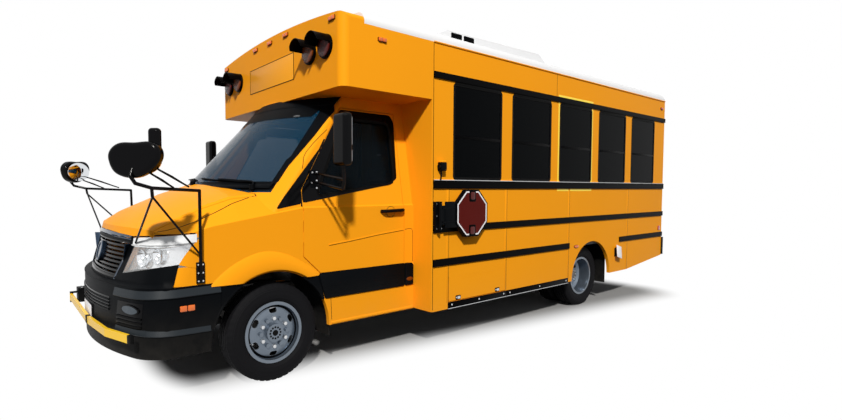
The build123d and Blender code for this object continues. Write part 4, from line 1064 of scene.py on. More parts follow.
# ---------------------------------------------------------------- body
@dataclass
class BodyPanels:
    """Sheet-metal joints, strips and small fittings of the passenger body."""

    half: float = 1.219
    front: float = -1.450
    rear: float = -6.361
    doorway: Point = (-2.470, -1.530)
    seams: tuple = ((-1.661, 0.44, 1.51), (-2.538, 0.44, 1.51), (-3.750, 0.44, 1.51), (-5.250, 0.39, 1.51))
    band_seam: float = -3.437
    tape_window: Point = (-4.251, -3.475)

    def build(self, bus: Bus) -> None:
        """Dresses the body's nodes and adds its small parts."""
        bus.dress(Paint.YELLOW, "body_side_left", "body_side_right", "rear_wall", "rear_door", "side_hatch")
        bus.dress(Paint.WHITE, "body_roof")
        bus.dress(Paint.RAIL, "rub_rails", "rear_bumper", "entrance_leaf_front", "entrance_leaf_rear")
        self._seams(bus)
        self._sills(bus)
        self._rocker(bus)
        self._tape(bus)
        self._hatch(bus)
        self._flap(bus)
        self._camera_box(bus)
        self._gutter(bus)

    def _seams(self, bus: Bus) -> None:
        """Dark joints between the side panels, and their lapped edges."""
        shape, laps = Shape("panel_joints"), Shape("panel_lap_edges")
        skin = self.half
        for side in (1, -1):
            for x, low, high in self.seams:
                if side < 0 and x > self.doorway[0] - 0.1:
                    continue
                shape.box((x - 0.002, side * skin - 0.0012, low), (x + 0.002, side * skin + 0.0012, high))
                laps.box((x + 0.002, side * skin - 0.001, low), (x + 0.03, side * skin + 0.0016, high), 0.0007)
            shape.box((self.band_seam - 0.002, side * skin - 0.0012, 2.565),
                      (self.band_seam + 0.002, side * skin + 0.0012, 2.825))
            shape.box((self.front - 0.004, side * skin - 0.003, 0.39),
                      (self.front + 0.001, side * skin + 0.0014, 2.825))
        shape.finish(bus, "vehicle", [Paint.RUBBER])
        laps.finish(bus, "vehicle", [Paint.YELLOW])

    def _sills(self, bus: Bus) -> None:
        """Bright strips under the side windows."""
        shape = Shape("window_sill_strips")
        shape.box((self.rear + 0.006, 1.2185, 1.585), (self.front - 0.006, 1.229, 1.5925), 0.0015)
        for low, high in ((self.rear + 0.006, self.doorway[0]), (self.doorway[1], self.front - 0.006)):
            shape.box((low, -1.229, 1.585), (high, -1.2185, 1.5925), 0.0015)
        shape.finish(bus, "vehicle", [Paint.ALLOY])

    def _rocker(self, bus: Bus) -> None:
        """Black strips along the skirt's lower edge, with a bright lip."""
        shape = Shape("rocker_strips")
        for low, high in ((-3.741, -2.548), (-2.542, -1.653)):
            shape.box((low, 1.2185, 0.374), (high, 1.2265, 0.437), 0.003)
            shape.box((low, 1.2185, 0.3735), (high, 1.229, 0.379), 0.001, 1)
            for x in (low + 0.05, high - 0.05, (low + high) / 2):
                shape.turned(cap(0.009, 0.0085, 0.003, 0.004), (x, 1.2263, 0.410), Axis.Y, 12, 1)
        shape.finish(bus, "vehicle", [Paint.RAIL, Paint.ALLOY])

    def _tape(self, bus: Bus) -> None:
        """Reflective tape round the push-out window, with a faint glow that is painted brightness."""
        shape = Shape("exit_window_tape")
        low, high = self.tape_window
        for side in (1, -1):
            out = side * (self.half + 0.0011)
            back = side * (self.half - 0.001)
            y_low, y_high = min(out, back), max(out, back)
            for x0, x1, z0, z1 in ((low, high, 2.567, 2.592), (low, high, 1.483, 1.508),
                                   (low, low + 0.024, 1.594, 2.506), (high - 0.024, high, 1.594, 2.506)):
                shape.box((x0, y_low, z0), (x1, y_high, z1))
        shape.finish(bus, "vehicle", [Paint.TAPE])

    def _hatch(self, bus: Bus) -> None:
        """Flush latches of the luggage hatch."""
        shape = Shape("hatch_latches")
        for x in (-1.797, -2.392):
            plate = rounded_rect((x - 0.036, 0.447), (x + 0.036, 0.487), 0.008, 3)
            paddle = rounded_rect((x - 0.026, 0.453), (x + 0.012, 0.478), 0.005, 3)
            shape.prism(plate, Axis.Y, 1.2185, 1.2225, 0.0012)
            shape.prism(paddle, Axis.Y, 1.222, 1.2265, 0.0015, 1)
            shape.turned(cap(0.008, 0.0075, 0.002, 0.002), (x + 0.024, 1.2225, 0.467), Axis.Y, 16, 1)
        shape.finish(bus, "side_hatch", [Paint.RAIL, Paint.ALLOY])

    def _flap(self, bus: Bus) -> None:
        """Small white lid on its bracket behind the rear wheel; the black plate on the panel behind it is painted
        shadow of the lid.
        """
        shape = Shape("rear_skirt_lid")
        tilt = (Matrix.Translation((-4.942, 1.262, 0.662)) @ Matrix.Rotation(math.radians(-16), 4, "Y")
                @ Matrix.Rotation(math.radians(12), 4, "X"))
        shape.box((-0.066, -0.004, -0.082), (0.066, 0.004, 0.082), 0.003, 0, 2, tilt)
        shape.box((-0.052, -0.036, -0.02), (0.052, -0.004, 0.05), 0.004, 1, 2, tilt)
        # Black plate on the panel round the lid: painted shadow of the lid.
        shape.box((-5.0, 1.2185, 0.60), (-4.89, 1.232, 0.71), 0.004, 1)
        shape.finish(bus, "vehicle", [Paint.SHEETING, Paint.PLASTIC])

    def _camera_box(self, bus: Bus) -> None:
        """Small camera on a post at the body's front edge."""
        shape = Shape("side_camera")
        shape.box((-1.573, 1.219, 1.672), (-1.503, 1.279, 1.752), 0.012, 0, 3)
        shape.box((-1.568, 1.221, 1.744), (-1.508, 1.274, 1.766), 0.008, 1, 3)
        shape.turned([(0.0, 0.0), (0.022, 0.0), (0.022, 0.008), (0.016, 0.01), (0.0, 0.004)],
                     (-1.503, 1.249, 1.712), Axis.X, 24, 2)
        shape.tube(curved_path([(-1.538, 1.235, 1.675), (-1.538, 1.235, 1.62), (-1.538, 1.228, 1.588)], 0.02), 0.008)
        shape.finish(bus, "vehicle", [Paint.PLASTIC, Paint.YELLOW, Paint.GLOSS])

    def _gutter(self, bus: Bus) -> None:
        """Rain gutters where the roof meets the sides."""
        shape = Shape("roof_gutters")
        for side in (1, -1):
            section = [(1.216, 2.818), (1.227, 2.819), (1.2295, 2.826), (1.226, 2.832), (1.216, 2.8345)]
            rings = [[(x, side * y, z) for y, z in section] for x in (self.rear + 0.004, self.front - 0.004)]
            shape.loft(rings)
        shape.finish(bus, "vehicle", [Paint.YELLOW])


@dataclass
class BodyWindows:
    """Black frames, sashes and catches of the passenger windows."""

    first: float = -2.075
    pitch: float = 0.897
    count: int = 5
    length: float = 0.729
    low: float = 1.592
    high: float = 2.496
    corner: float = 0.035
    pane: float = 1.215
    border: float = 0.026

    def build(self, bus: Bus) -> None:
        """Dresses the glass and frames each window."""
        bus.dress(Paint.TINT, "body_glass")
        self._side(bus, "left_window_frames", 1.0, range(self.count))
        self._side(bus, "right_window_frames", -1.0, range(1, self.count))
        self._rear_windows(bus)

    def _side(self, bus: Bus, name: str, side: float, bays: Iterable[int]) -> None:
        """Frames the windows of one side.

        Args:
            bus: The frame.
            name: Name of the piece.
            side: 1 for the left, -1 for the right.
            bays: Which windows it has.
        """
        shape = Shape(name)
        for bay in bays:
            middle = self.first - self.pitch * bay
            low, high = (middle - self.length / 2 + 0.0005, self.low), (middle + self.length / 2 - 0.0005, self.high)
            outer = rounded_rect(low, high, self.corner)
            inner = rounded_rect((low[0] + self.border, low[1] + self.border),
                                 (high[0] - self.border, high[1] - self.border), self.corner * 0.5)
            shape.hoop(outer, inner, Axis.Y, side * (self.pane - 0.004), side * (self.pane + 0.006), 0.0015)
            self._sash(shape, middle, side)
            y = sorted((side * (self.pane - 0.004), side * (self.pane + 0.0085)))
            shape.box((low[0] + 0.02, y[0], self.high - 0.012), (high[0] - 0.02, y[1], self.high + 0.020), 0.002)
        shape.finish(bus, "vehicle", [Paint.RUBBER, Paint.RAIL, Paint.ALLOY])

    def _sash(self, shape: Shape, middle: float, side: float) -> None:
        """Meeting rail and catches of one window.

        Args:
            shape: The frames' mesh.
            middle: The window's middle.
            side: 1 for the left, -1 for the right.
        """
        half = self.length / 2 - self.border + 0.003
        for z0, z1, depth in ((1.984, 2.006, 0.0045), (2.006, 2.012, 0.0025)):
            y = sorted((side * (self.pane - 0.001), side * (self.pane + depth)))
            shape.box((middle - half, y[0], z0), (middle + half, y[1], z1), 0.001, 1)
        for offset in (-0.22, 0.22):
            y = sorted((side * (self.pane - 0.012), side * (self.pane - 0.03)))
            shape.box((middle + offset - 0.03, y[0], 1.99), (middle + offset + 0.03, y[1], 2.012), 0.003, 2)

    def _rear_windows(self, bus: Bus) -> None:
        """Rubber seals of the rear wall's windows and of the rear door's window."""
        shape = Shape("rear_window_seals")
        for side in (1, -1):
            edge = sorted((side * 0.560, side * 1.050))
            outer = rounded_rect((edge[0] - 0.016, 1.576), (edge[1] + 0.016, 2.396), 0.05)
            inner = rounded_rect((edge[0] + 0.012, 1.604), (edge[1] - 0.012, 2.368), 0.03)
            shape.hoop(outer, inner, Axis.X, -6.354, -6.3665, 0.003)
        shape.finish(bus, "vehicle", [Paint.RUBBER])
        door = Shape("rear_door_window_seal")
        door.hoop(rounded_rect((-0.346, 1.576), (0.346, 2.346), 0.05),
                  rounded_rect((-0.318, 1.604), (0.318, 2.318), 0.03), Axis.X, -6.354, -6.3665, 0.003)
        door.finish(bus, "rear_door", [Paint.RUBBER])
        bus.dress(Paint.TINT, "rear_door_glass")


@dataclass
class RearEnd:
    """Emergency door's handle and seal, blank plate and bumper bolts."""

    face: float = -6.361

    def build(self, bus: Bus) -> None:
        """Adds the rear door's handle and seal, the blank plate and the bumper's bolts."""
        face = self.face
        handle = Shape("rear_door_handle")
        handle.box((face - 0.012, 0.30, 1.10), (face, 0.38, 1.24), 0.004, 0)
        handle.tube(curved_path([(face - 0.008, 0.34, 1.12), (face - 0.038, 0.34, 1.13), (face - 0.038, 0.34, 1.205),
                                 (face - 0.008, 0.34, 1.22)], 0.02), 0.009, paint=1)
        handle.finish(bus, "rear_door", [Paint.PLASTIC, Paint.ALLOY])
        seal = Shape("rear_door_seal")
        seal.hoop(rounded_rect((-0.452, 0.785), (0.452, 2.436), 0.03),
                  rounded_rect((-0.434, 0.803), (0.434, 2.418), 0.02), Axis.X, face + 0.002, face - 0.0012, 0.0004)
        seal.finish(bus, "vehicle", [Paint.RUBBER])
        plate = Shape("rear_blank_plate")
        plate.prism(rounded_rect((0.56, 1.02), (0.865, 1.175), 0.012, 4), Axis.X, face + 0.001, face - 0.004, 0.0015)
        plate.box((face - 0.02, 0.66, 1.19), (face, 0.77, 1.212), 0.004, 1)
        plate.finish(bus, "vehicle", [Paint.SHEETING, Paint.PLASTIC])
        bolts = Shape("rear_bumper_bolts")
        for y in (-0.9, -0.5, 0.5, 0.9):
            bolts.turned(cap(0.016, 0.015, 0.006, 0.008), (-6.44, y, 0.64), Axis.X, 16, 0, -1)
        bolts.finish(bus, "vehicle", [Paint.ALLOY])


@dataclass
class Entrance:
    """Seals and grab rails of the entrance's two leaves, on the right side."""

    leaves: tuple = (("entrance_front", -1.997, -1.566), ("entrance_rear", -2.434, -2.003))
    skin: float = -1.219

    def build(self, bus: Bus) -> None:
        """Adds window seals and grab rails to both leaves."""
        bus.dress(Paint.TINT, "entrance_glass_front", "entrance_glass_rear")
        for body, rear, front in self.leaves:
            shape = Shape(f"{body}_seals")
            for low, high in ((1.000, 2.410), (0.480, 0.930)):
                outer = rounded_rect((rear + 0.056, low - 0.004), (front - 0.056, high + 0.004), 0.042)
                inner = rounded_rect((rear + 0.076, low + 0.016), (front - 0.076, high - 0.016), 0.028)
                shape.hoop(outer, inner, Axis.Y, self.skin + 0.008, self.skin - 0.003, 0.0015)
            x = (rear + front) / 2
            shape.tube(curved_path([(x, -1.184, 0.965), (x, -1.150, 0.975), (x, -1.150, 1.38), (x, -1.178, 1.40),
                                    (x, -1.2, 1.40)], 0.02), 0.011, paint=1)
            shape.finish(bus, body, [Paint.RUBBER, Paint.ALLOY])


# ---------------------------------------------------------------- lamps
@dataclass
class Lamps:
    """Warning, marker and tail lamps."""

    front: float = -0.452
    rear: float = -6.361
    lens_radius: float = 0.085
    hood_radius: float = 0.096
    hood_length: float = 0.155
    height: float = 2.655

    def build(self, bus: Bus) -> None:
        """Replaces the warning and marker lamps."""
        self._warning(bus)
        self._markers(bus)

    def _warning(self, bus: Bus) -> None:
        """Round flashing lamps under their hoods."""
        shape = Shape("warning_lamps_dressed")
        for x, facing in ((self.front, 1.0), (self.rear, -1.0)):
            for y, paint in ((0.745, 1), (0.995, 2)):
                for side in (1, -1):
                    self._lamp(shape, (x, side * y, self.height), facing, paint)
        # The lenses' darkened amber and red are painted shade under the hoods.
        shape.finish(bus, "vehicle", [Paint.RAIL, Paint.SHADED_AMBER, Paint.SHADED_RED], ["warning_lamps"])

    def _lamp(self, shape: Shape, centre: Point, facing: float, paint: int) -> None:
        """One hooded lamp.

        Args:
            shape: The lamps' mesh.
            centre: Middle of its back plate.
            facing: 1 to the front, -1 to the rear.
            paint: Index of the lens's finish.
        """
        r = self.lens_radius
        shape.turned([(0.0, 0.0), (r + 0.013, 0.0), (r + 0.013, 0.014), (r + 0.009, 0.02), (r, 0.021), (r, 0.012),
                      (0.0, 0.012)], centre, Axis.X, 40, 0, facing)
        shape.turned([(0.0, 0.012), (r - 0.001, 0.012), (r - 0.001, 0.030), (r - 0.008, 0.037), (r - 0.03, 0.042),
                      (0.0, 0.045)], centre, Axis.X, 40, paint, facing)
        rings = []
        steps = 28
        for step in range(steps + 1):
            angle = math.radians(8) + math.radians(164) * step / steps
            reach = self.hood_length * (0.90 + 0.10 * min(1.0, 2.0 * math.sin(angle)))
            ring = []
            for radius, along in ((self.hood_radius - 0.004, 0.016), (self.hood_radius - 0.004, reach - 0.002),
                                  (self.hood_radius, reach), (self.hood_radius, 0.016)):
                ring.append((centre[0] + facing * along, centre[1] + radius * math.cos(angle),
                             centre[2] + radius * math.sin(angle)))
            rings.append(ring)
        shape.loft(rings)

    def _markers(self, bus: Bus) -> None:
        """Clearance and side markers, reflectors and tail lamps."""
        shape = Shape("marker_lamps_dressed")
        for y, z in ((1.086, 2.8555), (0.320, 2.9095), (0.0, 2.9095), (-0.320, 2.9095), (-1.086, 2.8555)):
            self._block(shape, Axis.X, self.front, 1.0, (y, z), (0.045, 0.0175), 1)
        for y, z in ((1.086, 2.7875), (0.230, 2.8175), (0.0, 2.8175), (-0.230, 2.8175), (-1.086, 2.7875)):
            self._block(shape, Axis.X, self.rear, -1.0, (y, z), (0.045, 0.0175), 2)
        for side in (1, -1):
            self._block(shape, Axis.Y, side * 1.219, side, (-0.851, 2.7275), (0.045, 0.0175), 1)
            self._block(shape, Axis.Y, side * 1.219, side, (-6.241, 2.7075), (0.035, 0.0175), 2)
            self._oval(shape, side)
            plate = rounded_rect((-6.2965, 0.8885), (-6.2285, 0.9515), 0.006, 3)
            shape.prism(plate, Axis.Y, side * 1.2185, side * 1.227, 0.002, 2)
            for z, radius, paint in ((1.450, 0.088, 2), (1.240, 0.088, 1), (1.040, 0.060, 3)):
                self._tail(shape, (self.rear, side * 0.960, z), radius, paint)
        shape.finish(bus, "vehicle", [Paint.RUBBER, Paint.AMBER, Paint.RED, Paint.WHITE_LAMP], ["marker_lamps"])

    @staticmethod
    def _block(shape: Shape, axis: Axis, face: float, facing: float, middle: Point, half: Point, paint: int) -> None:
        """One marker: a lens on a dark foot, with its two screws.

        Args:
            shape: The lamps' mesh.
            axis: Axis that it faces along.
            face: Place of the skin along that axis.
            facing: 1 or -1 along the axis.
            middle: Its middle across the axis.
            half: Half of its width and height.
            paint: Index of the lens's finish.
        """
        a, b = middle
        w, h = half
        shape.prism(rounded_rect((a - w, b - h), (a + w, b + h), 0.006, 3), axis, face, face + facing * 0.006, 0.001)
        for low, high in ((a - w + 0.004, a - 0.002), (a + 0.002, a + w - 0.004)):
            shape.prism(rounded_rect((low, b - h + 0.003), (high, b + h - 0.003), 0.005, 3), axis,
                        face + facing * 0.005, face + facing * 0.0175, 0.005, paint)

    @staticmethod
    def _oval(shape: Shape, side: float) -> None:
        """Oval side marker ahead of the rear wheel."""
        shape.prism(ellipse((-3.916, 0.804), (0.050, 0.0195)), Axis.Y, side * 1.2185, side * 1.224, 0.001)
        shape.prism(ellipse((-3.916, 0.804), (0.045, 0.0155)), Axis.Y, side * 1.223, side * 1.2325, 0.005, 1)

    @staticmethod
    def _tail(shape: Shape, centre: Point, radius: float, paint: int) -> None:
        """One round tail lamp.

        Args:
            shape: The lamps' mesh.
            centre: Middle of its back.
            radius: Outside radius.
            paint: Index of the lens's finish.
        """
        shape.turned([(0.0, 0.0), (radius, 0.0), (radius, 0.012), (radius - 0.006, 0.018), (radius - 0.012, 0.012),
                      (0.0, 0.010)], centre, Axis.X, 40, 0, -1)
        inner = radius - 0.012
        shape.turned([(0.0, 0.010), (inner, 0.010), (inner, 0.020), (inner * 0.8, 0.026), (0.0, 0.029)], centre,
                     Axis.X, 40, paint, -1)


@dataclass
class FrontCap:
    """Cap over the cab, with its blank sign panel."""

    face: float = -0.452
    panel_half: float = 0.461
    panel_low: float = 2.487
    panel_high: float = 2.724

    def build(self, bus: Bus) -> None:
        """Dresses the cap and adds the blank panel."""
        bus.dress(Paint.YELLOW, "roof_cap")
        shape = Shape("blank_sign_panel")
        low, high = (-self.panel_half, self.panel_low), (self.panel_half, self.panel_high)
        shape.prism(rounded_rect(low, high, 0.006, 3), Axis.X, self.face - 0.001, self.face + 0.002, 0.0008)
        outer = rounded_rect((low[0] - 0.002, low[1] - 0.002), (high[0] + 0.002, high[1] + 0.002), 0.007, 3)
        inner = rounded_rect((low[0] + 0.004, low[1] + 0.004), (high[0] - 0.004, high[1] - 0.004), 0.004, 3)
        shape.hoop(outer, inner, Axis.X, self.face, self.face + 0.0032, 0.0008, 1)
        shape.finish(bus, "vehicle", [Paint.PANEL, Paint.RAIL])


# ---------------------------------------------------------------- cab
@dataclass
class Cab:
    """Van cab: doors, windshield, mirrors and trim."""

    skin: float = 0.985
    window: tuple = ((-0.365, 1.440), (-1.230, 1.560), (-1.238, 2.120), (-0.720, 2.120))
    surround: tuple = ((-0.2428, 1.394), (-1.150, 1.543), (-1.262, 1.600), (-1.300, 2.130), (-1.262, 2.196),
                       (-0.6965, 2.196), (-0.2428, 1.500))
    corner_upper: tuple = ((-0.020, 1.360), (-0.093, 1.449), (-0.182, 1.546), (-0.280, 1.651), (-0.402, 1.783),
                           (-0.510, 1.900))
    corner_lower: tuple = ((-0.015, 1.352), (-0.084, 1.364), (-0.228, 1.389), (-0.230, 1.502), (-0.398, 1.757),
                           (-0.492, 1.896))
    pillar_joint: tuple = ((-0.271, 1.672), (-0.299, 1.759), (-0.333, 1.810), (-0.401, 1.884), (-0.471, 1.950),
                           (-0.546, 2.010))
    crease: tuple = ((-0.478, 1.045), (-0.691, 1.066), (-1.021, 1.105), (-1.303, 1.131))
    moulding: tuple = ((-0.436, 0.604), (-1.3055, 0.604), (-1.3055, 0.817), (-0.392, 0.820), (-0.372, 0.806))

    def build(self, bus: Bus) -> None:
        """Dresses the cab's nodes and adds its trim."""
        bus.dress(Paint.YELLOW, "cab_shell", "front_fenders", "hood", "cab_door_left", "cab_door_right")
        bus.dress(Paint.CAB_TINT, "cab_door_glass_left", "cab_door_glass_right")
        bus.dress(Paint.SCREEN, "windshield")
        bus.dress(Paint.GLOSS, "door_mirror_left", "door_mirror_right")
        bus.dress(Paint.PLASTIC, "wheel_liners")
        for side, name in ((1, "left"), (-1, "right")):
            self._door_trim(bus, side, name)
            self._corners(bus, side, name)
            self._mirror_glass(bus, side, name)
        self._windshield_border(bus)
        self._wipers(bus)
        self._cowl(bus)
        self._cabin_mirror(bus)

    def _door_trim(self, bus: Bus, side: int, name: str) -> None:
        """Window seal, corner panel, handle and moulding of one door.

        Args:
            bus: The frame.
            side: 1 for the left, -1 for the right.
            name: The door's side in words.
        """
        door = f"cab_door_{name}"
        shape = Shape(f"{door}_trim")
        throw = (0.0, -side, 0.0)
        away = side * FAR
        count = 120
        rim = resampled(softened(list(reversed(self.window)), 0.075, 6), count, True)
        edge = resampled(softened(list(reversed(self.surround)), 0.022, 6), count, True)
        start = min(range(count), key=lambda k: (Vector(edge[k]) - Vector(rim[0])).length)
        edge = edge[start:] + edge[:start]
        near = [(x, away, z) for x, z in edge]
        far = [(x, away, z) for x, z in grown(rim, 0.004)]
        shape.quilt(bus, door, near, far, throw, 3, 0.0025, 0.004, 2, True)
        self._window_seal(bus, shape, door, rim, side)
        shape.prism(softened(list(self.moulding), 0.012, 3), Axis.Y, side * (self.skin - 0.002),
                    side * (self.skin + 0.014), 0.006, 1)
        for z in (0.700, 0.640):
            shape.prism(softened([(-0.41, z), (-1.298, z), (-1.298, z + 0.006), (-0.41, z + 0.006)], 0.002, 1),
                        Axis.Y, side * (self.skin + 0.013), side * (self.skin + 0.0155), 0.0012, 1)
        shape.prism(rounded_rect((-0.372 - 0.03, 1.50), (-0.372 + 0.045, 1.66), 0.012), Axis.Y, side * 0.915,
                    side * 0.945, 0.004, 1)
        for x, z in ((-0.385, 1.515), (-0.385, 1.575), (-0.340, 1.560), (-0.345, 1.640), (-0.385, 1.645)):
            shape.turned(cap(0.0085, 0.0075, 0.006, 0.007), (x, side * 0.944, z), Axis.Y, 12, 3, side)
        self._handle(shape, side)
        shape.finish(bus, door, [Paint.RUBBER, Paint.PLASTIC, Paint.GLOSS, Paint.ALLOY, Paint.YELLOW])
        lines = Shape(f"{door}_creases")
        path = [bus.hit(door, (x, away, z), throw) for x, z in resampled(list(self.crease), 30)]
        lines.bead(path, 0.010, 0.0035, 0, 0.001)
        # Thin black line just under the crease bead: painted shade.
        shade = [(place - Vector((0.0, 0.0, 0.008)), normal) for place, normal in path]
        lines.bead(shade, 0.0035, 0.0006, 1, 0.001)
        lines.finish(bus, door, [Paint.YELLOW, Paint.RUBBER])

    @staticmethod
    def _window_seal(bus: Bus, shape: Shape, door: str, rim: Outline, side: int) -> None:
        """Rubber lip from the door's window edge in to the glass.

        Args:
            bus: The frame.
            shape: The door trim's mesh.
            door: The door's node.
            rim: The window's outline.
            side: 1 for the left, -1 for the right.
        """
        outer = grown(rim, 0.007)
        inner = grown(rim, -0.014)
        touches = bus.line_of_hits(door, [Vector((x, side * FAR, z)) for x, z in outer], (0.0, -side, 0.0))
        rings = [[], [], [], []]
        for (x, z), (u, w), (place, normal) in zip(outer, inner, touches):
            lean = -(normal.x * (u - x) + normal.z * (w - z)) / normal.y
            within = place + Vector((u - x, lean, w - z))
            rings[0].append(place)
            rings[1].append(place + normal * 0.0045)
            rings[2].append(within + normal * 0.0035)
            rings[3].append(within - normal * 0.024)
        shape.loft(rings, 0, caps=False)

    def _corners(self, bus: Bus, side: int, name: str) -> None:
        """Black corner ahead of the door window, pillar joint, sill line and rear panel of the cab's side.

        Args:
            bus: The frame.
            side: 1 for the left, -1 for the right.
            name: The side in words.
        """
        throw = (0.0, -side, 0.0)
        away = side * FAR
        count = 40
        upper = [(x, away, z) for x, z in resampled(list(self.corner_upper), count)]
        lower = [(x, away, z) for x, z in resampled(list(self.corner_lower), count)]
        shape = Shape(f"cab_corner_{name}")
        shape.quilt(bus, "cab_shell", upper, lower, throw, 3, 0.003, 0.005, 0)
        path = [bus.hit("cab_shell", point, throw) for point in upper]
        shape.bead([touch for touch in path if touch is not None], 0.012, 0.008, 0, 0.001)
        seam = resampled([(-0.233, 1.300), (-0.233, 1.501), (-0.510, 1.926)], 40)
        shape.bead(bus.line_of_hits("cab_shell", [Vector((x, away, z)) for x, z in seam], throw), 0.013, 0.002, 0, 0.02)
        joint = [bus.hit("cab_shell", (x, away, z), throw) for x, z in resampled(list(self.pillar_joint), 30)]
        shape.bead([touch for touch in joint if touch is not None], 0.005, 0.0008, 1, 0.001)
        rear = softened([(-1.3175, 0.604), (-1.418, 0.604), (-1.420, 0.790), (-1.402, 0.812), (-1.3175, 0.816)],
                        0.012, 4)
        shape.prism(rear, Axis.Y, side * (self.skin - 0.002), side * (self.skin + 0.014), 0.006, 2)
        shape.bead([(Vector((-1.3145, side * self.skin, z)), Vector((0.0, float(side), 0.0))) for z in (0.606, 0.815)],
                   0.006, 0.003, 1, 0.001)
        # This marker's darkened amber lens is painted shade.
        shape.prism(ellipse((-1.368, 0.664), (0.040, 0.018)), Axis.Y, side * (self.skin + 0.012),
                    side * (self.skin + 0.020), 0.004, 3)
        panel = curved_path([(-1.319, side * self.skin, 1.131), (-1.395, side * self.skin, 1.139),
                             (-1.417, side * self.skin, 1.115), (-1.418, side * self.skin, 0.822)], 0.03)
        out = Vector((0.0, float(side), 0.0))
        shape.bead([(point, out) for point in panel], 0.0045, 0.0008, 1, 0.001)
        sill = [(Vector((x, side * self.skin, 0.386)), out) for x in (-0.500, -0.800, -1.100, -1.420)]
        shape.bead(sill, 0.024, 0.005, 4, 0.001)
        front = [(Vector((-0.494 - 0.002 * k, side * self.skin, 0.596 - 0.045 * k)), out) for k in range(5)]
        shape.bead(front, 0.0045, 0.0008, 1, 0.001)
        shape.finish(bus, "vehicle", [Paint.GLOSS, Paint.RUBBER, Paint.PLASTIC, Paint.SHADED_AMBER, Paint.YELLOW])

    def _handle(self, shape: Shape, side: int) -> None:
        """Pull handle over its round recess.

        Args:
            shape: The door trim's mesh.
            side: 1 for the left, -1 for the right.
        """
        y = side * self.skin
        shape.turned(cap(0.052, 0.051, 0.0016, 0.0016), (-1.145, y, 1.300), Axis.Y, 32, 1, side)
        shape.turned(cap(0.0485, 0.046, 0.0036, 0.0022, 0.001), (-1.145, y, 1.300), Axis.Y, 32, 4, side)
        grip = curved_path([(-1.036, y + side * 0.002, 1.307), (-1.048, y + side * 0.036, 1.308),
                            (-1.262, y + side * 0.036, 1.313), (-1.288, y + side * 0.002, 1.313)], 0.028)
        shape.tube(grip, 0.019, 12, 1, 0.8)

    def _mirror_glass(self, bus: Bus, side: int, name: str) -> None:
        """Two mirror glasses in the back of one door mirror.

        Args:
            bus: The frame.
            side: 1 for the left, -1 for the right.
            name: The mirror's side in words.
        """
        shape = Shape(f"door_mirror_{name}_glass")
        for z0, z1 in ((1.822, 2.048), (1.702, 1.806)):
            edges = sorted((side * 1.308, side * 1.437))
            shape.prism(rounded_rect((edges[0], z0), (edges[1], z1), 0.018, 4), Axis.X, -0.391, -0.3935, 0.001)
        shape.finish(bus, f"cab_door_{name}", [Paint.MIRROR])

    def _windshield_border(self, bus: Bus) -> None:
        """Black printed border of the windshield, widened at the top as painted shade under the cap, with a black band
        of painted shade over the header.
        """
        shape = Shape("windshield_border_and_header_shade")

        def edge(y0: float, z0: float, y1: float, z1: float, count: int) -> list[Point]:
            """Points thrown at the glass, as (y, z) lines."""
            return [(FAR, p.y, p.z) for p in run((0, y0, z0), (0, y1, z1), count)]

        # The top border reaches down to 2.130: printed border, widened as painted shade under the cap.
        shape.quilt(bus, "windshield", edge(-0.735, 2.236, 0.735, 2.236, 33), edge(-0.70, 2.130, 0.70, 2.130, 33),
                    REARWARD, 2, 0.0012, 0.002)
        widths = [-0.858 + 1.716 * k / 44 for k in range(45)]
        shape.quilt(bus, "windshield", [(FAR, y, 1.566) for y in widths],
                    [(FAR, y, 1.513 - 0.020 * min(max(abs(y) - 0.45, 0.0) / 0.2, 1.0)) for y in widths],
                    REARWARD, 3, 0.0012, 0.002)
        for side in (1, -1):
            shape.bead(bus.line_of_hits("cab_shell", [Vector((FAR, side * (0.725 + 0.009 * k), 2.2445))
                                                      for k in range(9)], REARWARD), 0.016, 0.004, 0, 0.004)
        around = [(-0.852, 1.560), (-0.7415, 2.2405), (0.7415, 2.2405), (0.852, 1.560)]
        seam = bus.line_of_hits("windshield+cab_shell", [Vector((FAR, y, z)) for y, z in resampled(around, 121)],
                                REARWARD)
        shape.bead(seam, 0.016, 0.004, 0, 0.004)
        # Black band over the header under the cap: painted shade, not a part.
        shape.quilt(bus, "cab_shell", edge(-0.82, 2.322, 0.82, 2.322, 45), edge(-0.82, 2.247, 0.82, 2.247, 45),
                    REARWARD, 3, 0.003, 0.006)
        levels = [1.500 + 0.736 * k / 24 for k in range(25)]
        for side in (1, -1):
            rim = [(FAR, side * (0.868 - 0.1654 * (z - 1.480)), z) for z in levels]
            shape.quilt(bus, "windshield", [(x, y - side * 0.001, z) for x, y, z in rim],
                        [(x, y - side * (0.036 if z < 1.75 else 0.022), z) for x, y, z in rim], REARWARD, 2, 0.0012,
                        0.002)
            upper = [point for point in rim if point[2] > 1.67]
            shape.quilt(bus, "cab_shell", [(x, side * (0.838 - 0.06 * max(z - 1.96, 0.0)), z) for x, y, z in upper],
                        [(x, y + side * 0.002, z) for x, y, z in upper], REARWARD, 3, 0.005, 0.006)
        shape.finish(bus, "vehicle", [Paint.PLASTIC])

    def _wipers(self, bus: Bus) -> None:
        """Two wiper arms and blades at rest on the glass."""
        shape = Shape("wipers")
        for outer, inner in (((0.72, 1.552), (0.07, 1.592)), ((-0.03, 1.580), (-0.66, 1.575))):
            blade = [bus.hit("windshield", point, REARWARD) for point in run((FAR, *outer), (FAR, *inner), 20)]
            shape.bead(blade, 0.012, 0.016, 0, 0.0)
            arm = [place + normal * 0.026 for place, normal in blade[:11]]
            foot = arm[0] + Vector((0.03, 0.02, -0.035))
            shape.tube(curved_path([foot, arm[0], arm[10]], 0.05), 0.008, 10, 0, 0.6)
            shape.turned([(0.0, -0.03), (0.022, -0.03), (0.022, 0.006), (0.016, 0.012), (0.0, 0.013)], foot, Axis.Z,
                         20, 0)
        shape.finish(bus, "vehicle", [Paint.PLASTIC])

